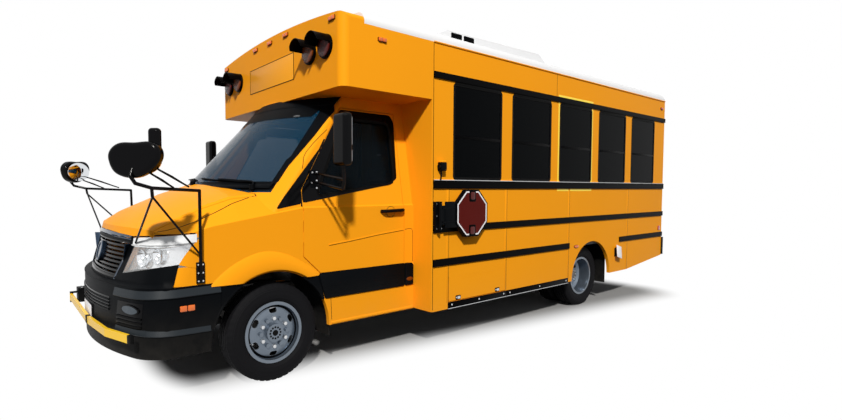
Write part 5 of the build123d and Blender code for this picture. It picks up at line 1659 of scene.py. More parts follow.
    def _cowl(self, bus: Bus) -> None:
        """Sloped panel between the hood and the glass."""
        shape = Shape("windshield_cowl")
        foot = [bus.hit("windshield", (FAR, -0.85 + 1.7 * k / 44, 1.560), REARWARD)[0] for k in range(45)]
        rows = [[place + Vector((offset, 0.0, lift - 0.045)) for place in foot]
                for offset, lift in ((0.002, 0.036), (0.026, 0.030), (0.060, 0.012), (0.066, 0.0))]
        shape.loft(rows, closed=False)
        shape.finish(bus, "vehicle", [Paint.PLASTIC])

    def _cabin_mirror(self, bus: Bus) -> None:
        """Inside mirror and sun visors under the header."""
        shape = Shape("cabin_mirror")
        shape.box((-0.345, -0.13, 1.975), (-0.315, 0.13, 2.05), 0.014, 0, 3)
        shape.box((-0.3465, -0.12, 1.983), (-0.3445, 0.12, 2.042), 0.001, 1)
        shape.tube([(-0.33, 0.0, 2.04), (-0.33, 0.0, 2.13)], 0.010)
        for side in (1, -1):
            y = sorted((side * 0.12, side * 0.60))
            shape.box((-0.60, y[0], 2.13), (-0.40, y[1], 2.15), 0.009, 2, 3)
        shape.finish(bus, "vehicle", [Paint.PLASTIC, Paint.MIRROR, Paint.TRIM])


# ---------------------------------------------------------------- nose
@dataclass
class Nose:
    """Grille, headlamps and bumper."""

    skin: float = 0.985
    arch: Point = (0.020, 0.375)
    arch_square: float = 0.2470

    def build(self, bus: Bus) -> None:
        """Dresses the nose and adds its fine parts."""
        bus.dress(Paint.GLOSS, "grille")
        bus.dress(Paint.PLASTIC, "front_bumper")
        bus.dress(Paint.LENS, "headlamps")
        self._grille(bus)
        for side, name in ((1, "left"), (-1, "right")):
            self._headlamp(bus, side, name)
            self._fender(bus, side, name)
        self._bumper(bus)

    def _grille(self, bus: Bus) -> None:
        """Bright bar, mesh and plain badge of the grille."""
        shape = Shape("grille_trim")
        across = [-0.58 + 1.16 * k / 32 for k in range(33)]
        top = [(FAR, y, 1.186 - 0.050 * y * y) for y in across]
        low = [(FAR, y, 1.152 - 0.030 * y * y) for y in across]
        foot = [(FAR, y, 1.120) for y in across]
        shape.quilt(bus, "grille+hood+front_fenders", low, foot, REARWARD, 3, 0.0035, 0.008, 2)
        shape.quilt(bus, "grille+hood+front_fenders", top, low, REARWARD, 8, 0.006, 0.009)

        def leaning(y: float, reach: float, z: float, rise: float) -> list[Point]:
            """Points thrown at the grille's leaning end, from its foot to its top."""
            return [(FAR, side * (y + reach * t), z + rise * t) for t in (0.0, 0.25, 0.5, 0.75, 1.0)]

        for side in (1, -1):
            shape.quilt(bus, "grille", leaning(0.482, 0.128, 0.856, 0.262), leaning(0.466, 0.126, 0.860, 0.258),
                        REARWARD, 1, 0.004, 0.008)
        sill = [-0.54 + 1.08 * k / 32 for k in range(33)]
        shape.quilt(bus, "front_fenders+grille+front_bumper", [(FAR, y, 0.866) for y in sill],
                    [(FAR, y, 0.8385) for y in sill], REARWARD, 3, 0.003, 0.006, 2)
        for side in (1, -1):
            shape.quilt(bus, "front_fenders+grille+headlamps+hood", leaning(0.508, 0.076, 0.880, 0.240),
                        leaning(0.568, 0.085, 0.891, 0.262), REARWARD, 1, 0.003, 0.006, 2)
        place = bus.hit("grille", (FAR, 0.0, 1.140), REARWARD)[0]
        base = bus.hit("grille", (FAR, 0.0, 0.872), REARWARD)[0]
        lean = math.atan2(base.x - place.x, place.z - base.z)
        middle = place.lerp(base, 0.45)
        turn = Matrix.Translation(middle) @ Matrix.Rotation(-lean, 4, "Y")
        shape.turned([(0.0, -0.02), (0.082, -0.02), (0.082, 0.006), (0.076, 0.012), (0.066, 0.012), (0.062, 0.006),
                      (0.0, 0.005)], (0.0, 0.0, 0.0), Axis.X, 40, 0, 1.0, turn)
        shape.finish(bus, "vehicle", [Paint.CHROME, Paint.ALLOY, Paint.PLASTIC])

    def _headlamp(self, bus: Bus, side: int, name: str) -> None:
        """Bowls, bezel and light strip behind one clear lens.

        Args:
            bus: The frame.
            side: 1 for the left, -1 for the right.
            name: The lamp's side in words.
        """
        throw = Vector((-0.80, -0.60 * side, 0.0))
        out = Vector((1.2, 0.9 * side, 0.0))
        shape = Shape(f"headlamp_{name}_inside")

        def span(points: Sequence[Point]) -> list[Vector]:
            """Thrown starts for places near the lens."""
            return [Vector((x, side * y, z)) + out for x, y, z in points]

        top = span([(0.99, 0.655, 1.118), (0.93, 0.76, 1.124), (0.86, 0.86, 1.130), (0.76, 0.94, 1.140),
                    (0.68, 0.97, 1.148)])
        mid = span([(0.945, 0.610, 1.098), (0.90, 0.740, 1.102), (0.85, 0.855, 1.106), (0.75, 0.94, 1.114),
                    (0.62, 0.98, 1.125)])
        low = span([(1.00, 0.556, 0.920), (0.93, 0.70, 0.946), (0.86, 0.83, 0.966), (0.76, 0.94, 0.982),
                    (0.66, 0.98, 0.995)])
        foot = span([(0.99, 0.545, 0.905), (0.93, 0.69, 0.918), (0.86, 0.825, 0.935), (0.76, 0.94, 0.955),
                     (0.70, 0.97, 0.985)])
        shape.quilt(bus, "headlamps", top, mid, throw, 2, -0.006, 0.02, 2)
        shape.quilt(bus, "headlamps", mid, low, throw, 6, -0.055, 0.01, 1)
        shape.quilt(bus, "headlamps", low, foot, throw, 2, -0.008, 0.02, 0)
        for place, radius in (((0.90, 0.72, 1.020), 0.064), ((0.83, 0.855, 1.045), 0.056)):
            start = Vector((place[0], side * place[1], place[2])) + out
            touch = bus.hit("headlamps", start, throw)
            centre = touch[0] + Vector((-0.012, -0.006 * side, 0.0))
            aim = Vector((1.0, 0.22 * side, 0.0)).to_track_quat("X", "Z").to_matrix().to_4x4()
            turn = Matrix.Translation(centre) @ aim
            shape.turned([(radius, 0.0), (radius * 0.94, 0.002), (radius * 0.82, -0.018), (radius * 0.55, -0.036),
                          (radius * 0.2, -0.046), (0.0, -0.047), (0.0, -0.050), (radius * 0.6, -0.042),
                          (radius * 0.9, -0.020)], (0.0, 0.0, 0.0), Axis.X, 32, 1, 1.0, turn)
            shape.turned([(0.0, -0.046), (0.014, -0.044), (0.016, -0.012), (0.010, -0.002), (0.0, 0.0)],
                         (0.0, 0.0, 0.0), Axis.X, 20, 3, 1.0, turn)
        shape.finish(bus, "vehicle", [Paint.GLOSS, Paint.REFLECTOR, Paint.WHITE_LAMP, Paint.MIRROR])

    def _fender(self, bus: Bus, side: int, name: str) -> None:
        """Black chin under the lamp, arch flare, lamp edges and hood joint of one fender.

        Args:
            bus: The frame.
            side: 1 for the left, -1 for the right.
            name: The side in words.
        """
        aim = Vector((-0.80, -0.60 * side, 0.0))

        def near(*points: Point) -> list[Vector]:
            """Thrown starts for places near the nose's corner."""
            line = resampled([Vector((x, side * y, z)) for x, y, z in points], 24)
            return [point - aim * 1.5 for point in line]

        shape = Shape(f"fender_trim_{name}")
        nose = "front_fenders+headlamps+hood+grille+front_bumper"
        shape.quilt(bus, nose, near((1.010, 0.520, 0.900), (1.002, 0.570, 0.908), (0.927, 0.775, 0.946),
                                    (0.833, 0.916, 0.976), (0.780, 0.952, 0.985), (0.727, 0.973, 0.992)),
                    near((1.072, 0.440, 0.838), (1.050, 0.620, 0.838), (0.985, 0.780, 0.838), (0.880, 0.918, 0.838),
                         (0.820, 0.958, 0.838), (0.766, 0.974, 0.838)), aim, 6, 0.003, 0.006, 0)
        shape.quilt(bus, "headlamps", near((0.594, 0.985, 1.160), (0.652, 0.983, 1.098), (0.690, 0.979, 1.049),
                                           (0.727, 0.973, 0.990)),
                    near((0.590, 0.985, 1.158), (0.592, 0.985, 1.090), (0.594, 0.985, 1.040), (0.600, 0.985, 0.955)),
                    aim, 4, 0.002, 0.004, 1)
        shape.quilt(bus, nose, near((0.930, 0.612, 1.158), (0.860, 0.790, 1.172), (0.800, 0.885, 1.182),
                                    (0.709, 0.955, 1.190), (0.606, 0.985, 1.196)),
                    near((0.930, 0.612, 1.112), (0.870, 0.790, 1.116), (0.810, 0.885, 1.122), (0.715, 0.955, 1.130),
                         (0.606, 0.985, 1.140)), aim, 4, 0.003, 0.006, 2)
        side_throw = (0.0, -side, 0.0)
        away = side * FAR
        middle, axle = self.arch
        heights = [0.828 - 0.160 * k / 12 for k in range(13)]
        front = [(0.438, away, z) for z in heights]
        arch = [(middle + math.sqrt(self.arch_square - (min(z, 0.806) - axle) ** 2), away,
                 min(z, 0.806 + 0.15 * (z - 0.806))) for z in heights]
        shape.quilt(bus, "front_fenders+front_bumper", front, arch, side_throw, 3, 0.0035, 0.006, 0)
        rear_heights = [0.806 - 0.200 * k / 12 for k in range(13)]
        shape.quilt(bus, "cab_shell",
                    [(middle - math.sqrt(self.arch_square - (z - axle) ** 2), away, z) for z in rear_heights],
                    [(-0.388 - 0.2 * (0.806 - z), away, z) for z in rear_heights], side_throw, 2, 0.0035, 0.006, 0)
        profile = ((0.668, 0.600, -0.001), (0.660, 0.596, 0.004), (0.600, 0.560, 0.017), (0.530, 0.524, 0.026),
                   (0.512, 0.510, 0.022), (0.505, 0.503, 0.008), (0.503, 0.501, -0.010))
        rings = []
        for ahead, behind, height in profile:
            ring = []
            first, last = math.asin(0.440 / ahead), math.pi - math.asin(0.428 / behind)
            for k in range(41):
                angle = first + (last - first) * k / 40
                blend = min(max((angle - 1.35) / 0.75, 0.0), 1.0)
                radius = ahead + (behind - ahead) * blend * blend * (3.0 - 2.0 * blend)
                ring.append(Vector((middle + radius * math.cos(angle), side * (self.skin + height),
                                    axle + radius * math.sin(angle))))
            rings.append(ring)
        shape.loft(rings, 1, closed=False, caps=False)
        for first, last in ((16, 59), (121, 153)):
            edge = [math.radians(first + (last - first) * k / 16) for k in range(17)]
            shape.bead([(Vector((middle + 0.4965 * math.cos(a), side * self.skin, axle + 0.4965 * math.sin(a))),
                         Vector((0.0, float(side), 0.0))) for a in edge], 0.016, 0.004, 0, 0.040)
        lip = [(0.998, 0.03, 1.183), (0.990, 0.20, 1.180), (0.970, 0.377, 1.173), (0.925, 0.584, 1.163),
               (0.860, 0.783, 1.176), (0.790, 0.893, 1.186), (0.709, 0.957, 1.194), (0.615, 0.985, 1.200)]
        joint = [(0.839, 0.821, 1.201), (0.768, 0.863, 1.221), (0.680, 0.885, 1.243), (0.564, 0.892, 1.282),
                 (0.442, 0.874, 1.331), (0.312, 0.845, 1.388), (0.132, 0.806, 1.444), (0.040, 0.800, 1.480)]
        for line, back, width in ((lip, Vector((0.75, 0.45 * side, 0.48)), 0.011),
                                  (joint, Vector((0.25, 0.60 * side, 0.76)), 0.0065)):
            places = resampled([Vector((x, side * y, z)) for x, y, z in line], 40)
            touches = [bus.hit(nose, place + back * 0.1, -back) for place in places]
            shape.bead([touch for touch in touches if touch is not None], width, 0.0012, 3, 0.002)
        shape.finish(bus, "vehicle", [Paint.PLASTIC, Paint.YELLOW, Paint.WHITE_LAMP, Paint.RUBBER])

    def _bumper(self, bus: Bus) -> None:
        """Fog lamps, louvres, ledges, markers and the blank plate of the bumper."""
        shape = Shape("bumper_fittings")
        for side in (1, -1):
            self._fog(bus, shape, side)
            self._ledges(bus, shape, side)
            y = side * self.skin
            for low, high in ((0.629, 0.676), (0.682, 0.729)):
                shape.prism(rounded_rect((low, 0.668), (high, 0.708), 0.005, 3), Axis.Y, y, y + side * 0.012, 0.004, 2)
            shape.prism(rounded_rect((0.624, 0.662), (0.734, 0.714), 0.008, 3), Axis.Y, y - side * 0.001,
                        y + side * 0.004, 0.002, 0)
        self._middle(bus, shape)
        shape.finish(bus, "vehicle", [Paint.GLOSS, Paint.FOG, Paint.AMBER, Paint.PLASTIC, Paint.SHEETING, Paint.LEDGE])

    @staticmethod
    def _fog(bus: Bus, shape: Shape, side: int) -> None:
        """Fog lamp over two louvres, in a dark recess.

        Args:
            bus: The frame.
            shape: The fittings' mesh.
            side: 1 for the left, -1 for the right.
        """
        def line(z: float, low: float, high: float, count: int = 12) -> list[Point]:
            """Points thrown at the bumper from ahead."""
            return [(FAR, side * p.y, z) for p in run((0, low, 0), (0, high, 0), count)]

        shape.quilt(bus, "front_bumper", line(0.735, 0.640, 0.890), line(0.560, 0.600, 0.875), REARWARD, 3, 0.002,
                    0.004, 0)
        oval = ellipse((0.775, 0.684), (0.092, 0.036), 28)
        inner = ellipse((0.775, 0.684), (0.080, 0.028), 28)
        core = ellipse((0.775, 0.684), (0.0006, 0.0003), 28)
        shape.quilt(bus, "front_bumper", [(FAR, side * y, z) for y, z in oval],
                    [(FAR, side * y, z) for y, z in inner], REARWARD, 1, 0.010, 0.010, 0, True)
        shape.quilt(bus, "front_bumper", [(FAR, side * y, z) for y, z in inner],
                    [(FAR, side * y, z) for y, z in core], REARWARD, 2, 0.0085, 0.008, 1, True)
        for z in (0.628, 0.600, 0.572):
            shape.quilt(bus, "front_bumper", line(z + 0.006, 0.625, 0.878), line(z - 0.006, 0.620, 0.876), REARWARD, 1,
                        0.010, 0.010, 3)

    @staticmethod
    def _ledges(bus: Bus, shape: Shape, side: int) -> None:
        """Raised upper and lower edge lines of one bumper half.

        Args:
            bus: The frame.
            shape: The fittings' mesh.
            side: 1 for the left, -1 for the right.
        """
        def around(z_front: float, z_side: float) -> list[tuple[Vector, Vector]]:
            """Surface points from the middle of the front to the wheel opening."""
            found = []
            for k in range(14):
                y = 0.60 + 0.30 * k / 13
                found.append(bus.hit("front_bumper", (FAR, side * y, z_front), REARWARD))
            for k in range(1, 12):
                angle = math.radians(62 * k / 12 + 18)
                aim = Vector((-math.cos(angle), -side * math.sin(angle), 0.0))
                start = Vector((0.80, side * 0.80, z_front + (z_side - z_front) * k / 24)) - aim * 1.2
                found.append(bus.hit("front_bumper", start, aim))
            for k in range(10):
                x = 0.78 - 0.335 * k / 9
                z = z_front + (z_side - z_front) * (0.5 + 0.5 * k / 9)
                found.append(bus.hit("front_bumper", (x, side * FAR, z), (0.0, -side, 0.0)))
            return [touch for touch in found if touch is not None]

        for z_front, z_side, drop, out in ((0.822, 0.826, 0.052, 0.016), (0.556, 0.540, 0.034, 0.012)):
            touches = around(z_front, z_side)
            rings = [[place - normal * 0.003 for place, normal in touches],
                     [place + normal * 0.001 for place, normal in touches],
                     [place + normal * out - Vector((0.0, 0.0, drop)) for place, normal in touches],
                     [place + normal * out * 0.6 - Vector((0.0, 0.0, drop + 0.006)) for place, normal in touches],
                     [place - normal * 0.004 - Vector((0.0, 0.0, drop + 0.007)) for place, normal in touches]]
            # Finish 5, the lighter ledge black, is a painted highlight.
            shape.loft(rings, 5, closed=False, caps=False)

    @staticmethod
    def _middle(bus: Bus, shape: Shape) -> None:
        """Lower air opening, step and blank plate at the bumper's middle.

        Args:
            bus: The frame.
            shape: The fittings' mesh.
        """
        def line(z: float, half: float) -> list[Point]:
            """Points thrown at the bumper from ahead."""
            return [(FAR, -half + 2 * half * k / 24, z) for k in range(25)]

        shape.quilt(bus, "front_bumper", line(0.745, 0.52), line(0.640, 0.50), REARWARD, 2, 0.002, 0.004, 0)
        for z in (0.722, 0.698, 0.674, 0.650):
            shape.quilt(bus, "front_bumper", line(z + 0.005, 0.515), line(z - 0.005, 0.51), REARWARD, 1, 0.008,
                        0.008, 3)
        front = bus.hit("front_bumper", (FAR, 0.0, 0.59), REARWARD)[0].x
        shape.box((front - 0.012, -0.175, 0.512), (front + 0.004, 0.175, 0.628), 0.004, 3)
        shape.prism(rounded_rect((-0.155, 0.520), (0.155, 0.620), 0.010, 4), Axis.X, front + 0.003, front + 0.0065,
                    0.0012, 4)


# ---------------------------------------------------------------- arms
@dataclass
class SafetyArms:
    """Stop arm, crossing arm and the mirrors ahead of the cab."""

    stop_centre: Point = (-1.895, 1.277)
    stop_flats: float = 0.446
    stop_face: Point = (1.262, 1.302)

    def build(self, bus: Bus) -> None:
        """Dresses the arms and adds their faces and lamps."""
        bus.dress(Paint.PLASTIC, "stop_arm", "arm_brackets")
        bus.dress(Paint.ARM, "crossing_arm")
        bus.dress(Paint.GLOSS, "cross_view_mirrors")
        self._stop_faces(bus)
        self._stop_bracket(bus)
        self._crossing(bus)
        self._mirror_feet(bus)

    def _octagon(self, flats: float) -> Outline:
        """Octagon about the stop arm's middle, measured across its flats."""
        radius = flats / 2 / math.cos(math.pi / 8)
        x, z = self.stop_centre
        return [(x + radius * math.cos(math.radians(22.5 + 45 * k)), z + radius * math.sin(math.radians(22.5 + 45 * k)))
                for k in range(8)]

    def _stop_faces(self, bus: Bus) -> None:
        """Red faces with a white border and two lamps, on both sides of the plate."""
        shape = Shape("stop_arm_faces")
        x, z = self.stop_centre
        for face, side in ((self.stop_face[1], 1), (self.stop_face[0], -1)):
            out = face + side * 0.0005
            shape.prism(self._octagon(self.stop_flats - 0.004), Axis.Y, face - side * 0.002, out, 0, 2)
            shape.prism(self._octagon(self.stop_flats - 0.058), Axis.Y, face, out + side * 0.0012, 0, 1)
            shape.hoop(self._octagon(self.stop_flats - 0.030), self._octagon(self.stop_flats - 0.058), Axis.Y, face,
                       out + side * 0.0022, 0.0003, 0)
            for dz in (0.165, -0.165):
                patch = rounded_rect((x - 0.046, z + dz - 0.055), (x + 0.046, z + dz + 0.055), 0.012, 4)
                shape.prism(patch, Axis.Y, face, face + side * 0.005, 0.002, 2)
                # The stop lamps' darkened red lens is painted shade.
                shape.prism(rounded_rect((x - 0.030, z + dz - 0.036), (x + 0.030, z + dz + 0.036), 0.016, 4), Axis.Y,
                            face + side * 0.004, face + side * 0.009, 0.002, 3)
        shape.finish(bus, "stop_arm", [Paint.SHEETING, Paint.STOP, Paint.RAIL, Paint.SHADED_RED])

    def _stop_bracket(self, bus: Bus) -> None:
        """Bolts and wire cover of the stop arm's bracket."""
        shape = Shape("stop_bracket_bolts")
        for x in (-1.522, -1.466):
            for z in (1.145, 1.26, 1.372):
                shape.turned(cap(0.008, 0.007, 0.005, 0.006), (x, 1.2525, z), Axis.Y, 6)
        shape.finish(bus, "vehicle", [Paint.ALLOY])
        rods = Shape("stop_arm_rods")
        for z in (1.205, 1.331):
            rods.tube([(-1.50, 1.295, z), (-1.685, 1.295, z)], 0.006)
        rods.box((-1.70, 1.288, 1.150), (-1.53, 1.2965, 1.392), 0.004)
        rods.finish(bus, "stop_arm", [Paint.PLASTIC])

    @staticmethod
    def _crossing(bus: Bus) -> None:
        """End caps of the crossing arm and bolts of its housing."""
        caps = Shape("crossing_arm_caps")
        aim = Vector((-0.100, 0.310, 0.0)).normalized()
        end = Vector((1.020, 0.930, 0.5175))
        turn = Matrix.Translation(end - aim * 0.016) @ aim.to_track_quat("Y", "Z").to_matrix().to_4x4()
        caps.box((-0.0135, -0.026, -0.030), (0.0135, 0.0185, 0.030), 0.005, 0, 2, turn)
        caps.box((1.1475, 0.12, 0.4885), (1.1785, 0.175, 0.5465), 0.003)
        caps.finish(bus, "crossing_arm", [Paint.PLASTIC])
        bolts = Shape("crossing_housing_bolts")
        for x in (0.92, 1.08):
            for y in (-0.856, -0.784):
                bolts.turned(cap(0.008, 0.007, 0.005, 0.006), (x, y, 0.6), Axis.Z, 6)
        bolts.finish(bus, "vehicle", [Paint.ALLOY])

    @staticmethod
    def _mirror_feet(bus: Bus) -> None:
        """Bolts of the mirror arms' feet, and the cross-view mirrors' glass and looms."""
        shape = Shape("mirror_foot_bolts")
        for side in (1, -1):
            for x in (0.572, 0.604):
                for z in (0.868, 0.925, 0.983):
                    shape.turned(cap(0.007, 0.006, 0.005, 0.006), (x, side * 0.9985, z), Axis.Y, 6, 0, side)
        shape.finish(bus, "vehicle", [Paint.ALLOY])
        glass = Shape("cross_view_glass")
        looms = Shape("mirror_looms")
        turn = Matrix.Rotation(math.radians(49.5), 4, "Z")
        for side in (1, -1):
            flip = Matrix.Scale(side, 4, (0.0, 1.0, 0.0))
            rings = []
            for size, depth in ((0.90, -0.034), (0.89, -0.043), (0.70, -0.056), (0.40, -0.065), (0.05, -0.068)):
                rings.append([flip @ (Vector((1.046, 1.286, 1.672)) + turn @ Vector((depth, y * size, z * size)))
                              for y, z in ellipse((0.0, 0.004), (0.150, 0.100), 32)])
            glass.loft(rings, caps=False)
            for start, end in (((0.975, 1.352, 1.640), (0.690, 1.104, 1.520)),
                               ((0.985, 1.335, 1.600), (0.810, 1.186, 1.514))):
                path = [flip @ Vector(start), flip @ (Vector(start).lerp(Vector(end), 0.5) + Vector((0.0, 0.0, 0.006))),
                        flip @ Vector(end)]
                for k in range(34):
                    here, there = (path[0].lerp(path[2], t) for t in (k / 34, (k + 0.55) / 34))
                    looms.tube([here, there], 0.0062, 8)
                looms.tube(path, 0.0042, 8)
        glass.finish(bus, "vehicle", [Paint.MIRROR])
        looms.finish(bus, "vehicle", [Paint.RUBBER])


# ---------------------------------------------------------------- wheels
@dataclass
class Wheels:
    """Ribbed tyres, nuts, caps and valves."""

    radius: float = 0.384
    half: float = 0.1075
    heel: float = 0.233
    steps: int = 180
    rear_axle: float = -4.3
    front_track: float = 0.843
    twin_tracks: Point = (0.983, 0.733)
    nut_circle: float = 0.111125

    def build(self, bus: Bus) -> None:
        """Dresses the rims and replaces the tyres."""
        bus.dress(Paint.SILVER, "front_rim_left", "front_rim_right", "rear_rims_left", "rear_rims_right")
        for side, name in ((1, "left"), (-1, "right")):
            self._tyres(bus, f"front_tyre_{name}", f"front_wheel_{name}", 0.0, [side * self.front_track])
            twins = [side * track for track in self.twin_tracks]
            self._tyres(bus, f"rear_tyres_{name}", f"rear_wheels_{name}", self.rear_axle, twins)
            self._front_hub(bus, side, name)
            self._rear_hub(bus, side, name)

    def _section(self) -> list[tuple[float, float, int]]:
        """Section of a tyre as (radius, side distance, kind); kind 1 is notched shoulder, 2 is groove floor."""
        r, h = self.radius, self.half
        side = [(self.heel + 0.001, h - 0.031, 0), (self.heel + 0.012, h - 0.026, 0), (0.262, h - 0.012, 0),
                (0.272, h - 0.0055, 0), (0.276, h - 0.0055, 0), (0.290, h - 0.0005, 0), (0.310, h - 0.0003, 0),
                (0.330, h - 0.0045, 0), (0.334, h - 0.0035, 0), (0.342, h - 0.0075, 0), (0.346, h - 0.007, 0),
                (0.358, h - 0.0135, 1), (r - 0.0105, h - 0.0195, 1), (r - 0.002, h - 0.029, 1)]
        tread = []
        for edge in (0.052, 0.019):
            tread += [(r - 0.0008, edge + 0.0055, 0), (r - 0.009, edge + 0.0035, 2), (r - 0.009, edge - 0.0035, 2),
                      (r - 0.0002, edge - 0.0055, 0)]
        right = side + tread
        left = [(radius, -along, kind) for radius, along, kind in reversed(right)]
        return right + left

    def _tyres(self, bus: Bus, node: str, body: str, x: float, places: Sequence[float]) -> None:
        """Builds the tyres of one wheel body.

        Args:
            bus: The frame.
            node: Node that they replace.
            body: Body that they ride on.
            x: Axle place.
            places: Middle of each tyre across the bus.
        """
        shape = Shape(f"{node}_ribbed")
        section = self._section()
        for y in places:
            rings = []
            for step in range(self.steps):
                angle = 2 * math.pi * step / self.steps
                notch = 0.0045 if step % 4 == 0 else 0.0
                ring = []
                for radius, along, kind in section:
                    length = radius - (notch if kind == 1 else 0.0)
                    ring.append((x + length * math.sin(angle), y + along, self.radius + length * math.cos(angle)))
                rings.append(ring)
            shape.loft(rings, joined=True)
        shape.finish(bus, body, [Paint.TYRE], [node], 28.0)

    def _circle(self, x: float, y: float, reach: float, count: int) -> list[Point]:
        """Evenly spaced places round a wheel's middle."""
        angles = [math.radians(360 / count * index) for index in range(count)]
        return [(x + reach * math.sin(angle), y, self.radius + reach * math.cos(angle)) for angle in angles]

    def _front_hub(self, bus: Bus, side: int, name: str) -> None:
        """Nuts with bright caps, ribbed hub cover, painted shadow band and valve of a front wheel."""
        shape = Shape(f"front_hub_{name}")
        low, high = bus.box(f"front_rim_{name}")
        outside = high.y if side > 0 else low.y
        middle = (0.0, outside, self.radius)
        for place in self._circle(0.0, outside - side * 0.018, self.nut_circle, 6):
            shape.turned([(0.0, -0.03), (0.0185, -0.03), (0.0185, -0.004), (0.015, 0.006), (0.008, 0.0095),
                          (0.0, 0.0105)], place, Axis.Y, 6, 0, side)
        shape.turned([(0.0, -0.02), (0.060, -0.02), (0.060, -0.004), (0.054, -0.0006), (0.0, -0.0004)], middle,
                     Axis.Y, 36, 1, side)
        for place in self._circle(0.0, outside + side * 0.0002, 0.044, 12):
            shape.turned(cap(0.009, 0.0085, 0.0005, 0.0006, -0.004), place, Axis.Y, 12, 2, side)
        shape.turned(cap(0.024, 0.0235, 0.0008, 0.0009, -0.004), middle, Axis.Y, 24, 2, side)
        # Black band in the rim's well: painted shadow.
        self._shadow_gap(bus, shape, f"front_rim_{name}", 0.0, side)
        self._valve(shape, 0.0, side * (self.front_track + 0.075), side)
        shape.finish(bus, f"front_wheel_{name}", [Paint.ALLOY, Paint.CAST, Paint.GLOSS])

    def _rear_hub(self, bus: Bus, side: int, name: str) -> None:
        """Nuts, flange cover and valves of a rear wheel pair."""
        shape = Shape(f"rear_hub_{name}")
        face = side * (0.858 + 0.014)
        end = side * 0.968
        for place in self._circle(self.rear_axle, face, self.nut_circle, 6):
            shape.turned([(0.0, -0.01), (0.0195, -0.01), (0.0195, 0.017), (0.015, 0.027), (0.008, 0.031), (0.0, 0.032)],
                         place, Axis.Y, 6, 0, side)
        shape.turned([(0.0, -0.02), (0.075, -0.02), (0.075, -0.002), (0.069, 0.002), (0.0, 0.0025)],
                     (self.rear_axle, end, self.radius), Axis.Y, 36, 1, side)
        for place in self._circle(self.rear_axle, end + side * 0.002, 0.058, 8):
            shape.turned(cap(0.008, 0.007, 0.007, 0.008, -0.004), place, Axis.Y, 6, 0, side)
        self._valve(shape, self.rear_axle, side * (self.twin_tracks[0] + 0.050), side)
        shape.finish(bus, f"rear_wheels_{name}", [Paint.ALLOY, Paint.CAST])

    def _shadow_gap(self, bus: Bus, shape: Shape, rim: str, x: float, side: int) -> None:
        """Black band of painted shadow where the disc meets the rim's well.

        Args:
            bus: The frame.
            shape: The hub's mesh.
            rim: The rim's node.
            x: The wheel's middle.
            side: 1 for the left, -1 for the right.
        """
        outer, inner = (self._circle(x, side * FAR, radius, 72) for radius in (0.212, 0.194))
        shape.quilt(bus, rim, outer, inner, (0.0, -side, 0.0), 2, 0.0012, 0.004, 2, True)

    def _valve(self, shape: Shape, x: float, y: float, side: int) -> None:
        """Tyre valve standing out from the rim.

        Args:
            shape: The hub's mesh.
            x: The wheel's middle.
            y: The valve's middle across the bus.
            side: 1 for the left, -1 for the right.
        """
        path = curved_path([(x + 0.205, y - side * 0.02, self.radius - 0.066), (x + 0.192, y, self.radius - 0.062),
                            (x + 0.186, y + side * 0.026, self.radius - 0.060)], 0.012)
        shape.tube(path, 0.0042, 8, 0)


# ---------------------------------------------------------------- underside
@dataclass
class Underside:
    """Finishes below the floor, and the battery pack's ribs."""

    def build(self, bus: Bus) -> None:
        """Dresses the chassis and adds the battery pack's ribs."""
        bus.dress(Paint.CHASSIS, "frame_rails", "cross_members", "body_sills", "front_axle", "rear_axle")
        bus.dress(Paint.BATTERY, "battery_pack")
        bus.dress(Paint.CAST, "knuckle_left", "knuckle_right")
        low, high = bus.box("battery_pack")
        shape = Shape("battery_ribs")
        for k in range(7):
            x = low.x + 0.15 + (high.x - low.x - 0.30) * k / 6
            shape.box((x - 0.012, low.y + 0.03, low.z - 0.006), (x + 0.012, high.y - 0.03, low.z + 0.004), 0.003)
            for side in (low.y - 0.004, high.y - 0.002):
                shape.box((x - 0.012, side, low.z + 0.03), (x + 0.012, side + 0.006, high.z - 0.03), 0.002)
        shape.finish(bus, "vehicle", [Paint.BATTERY])


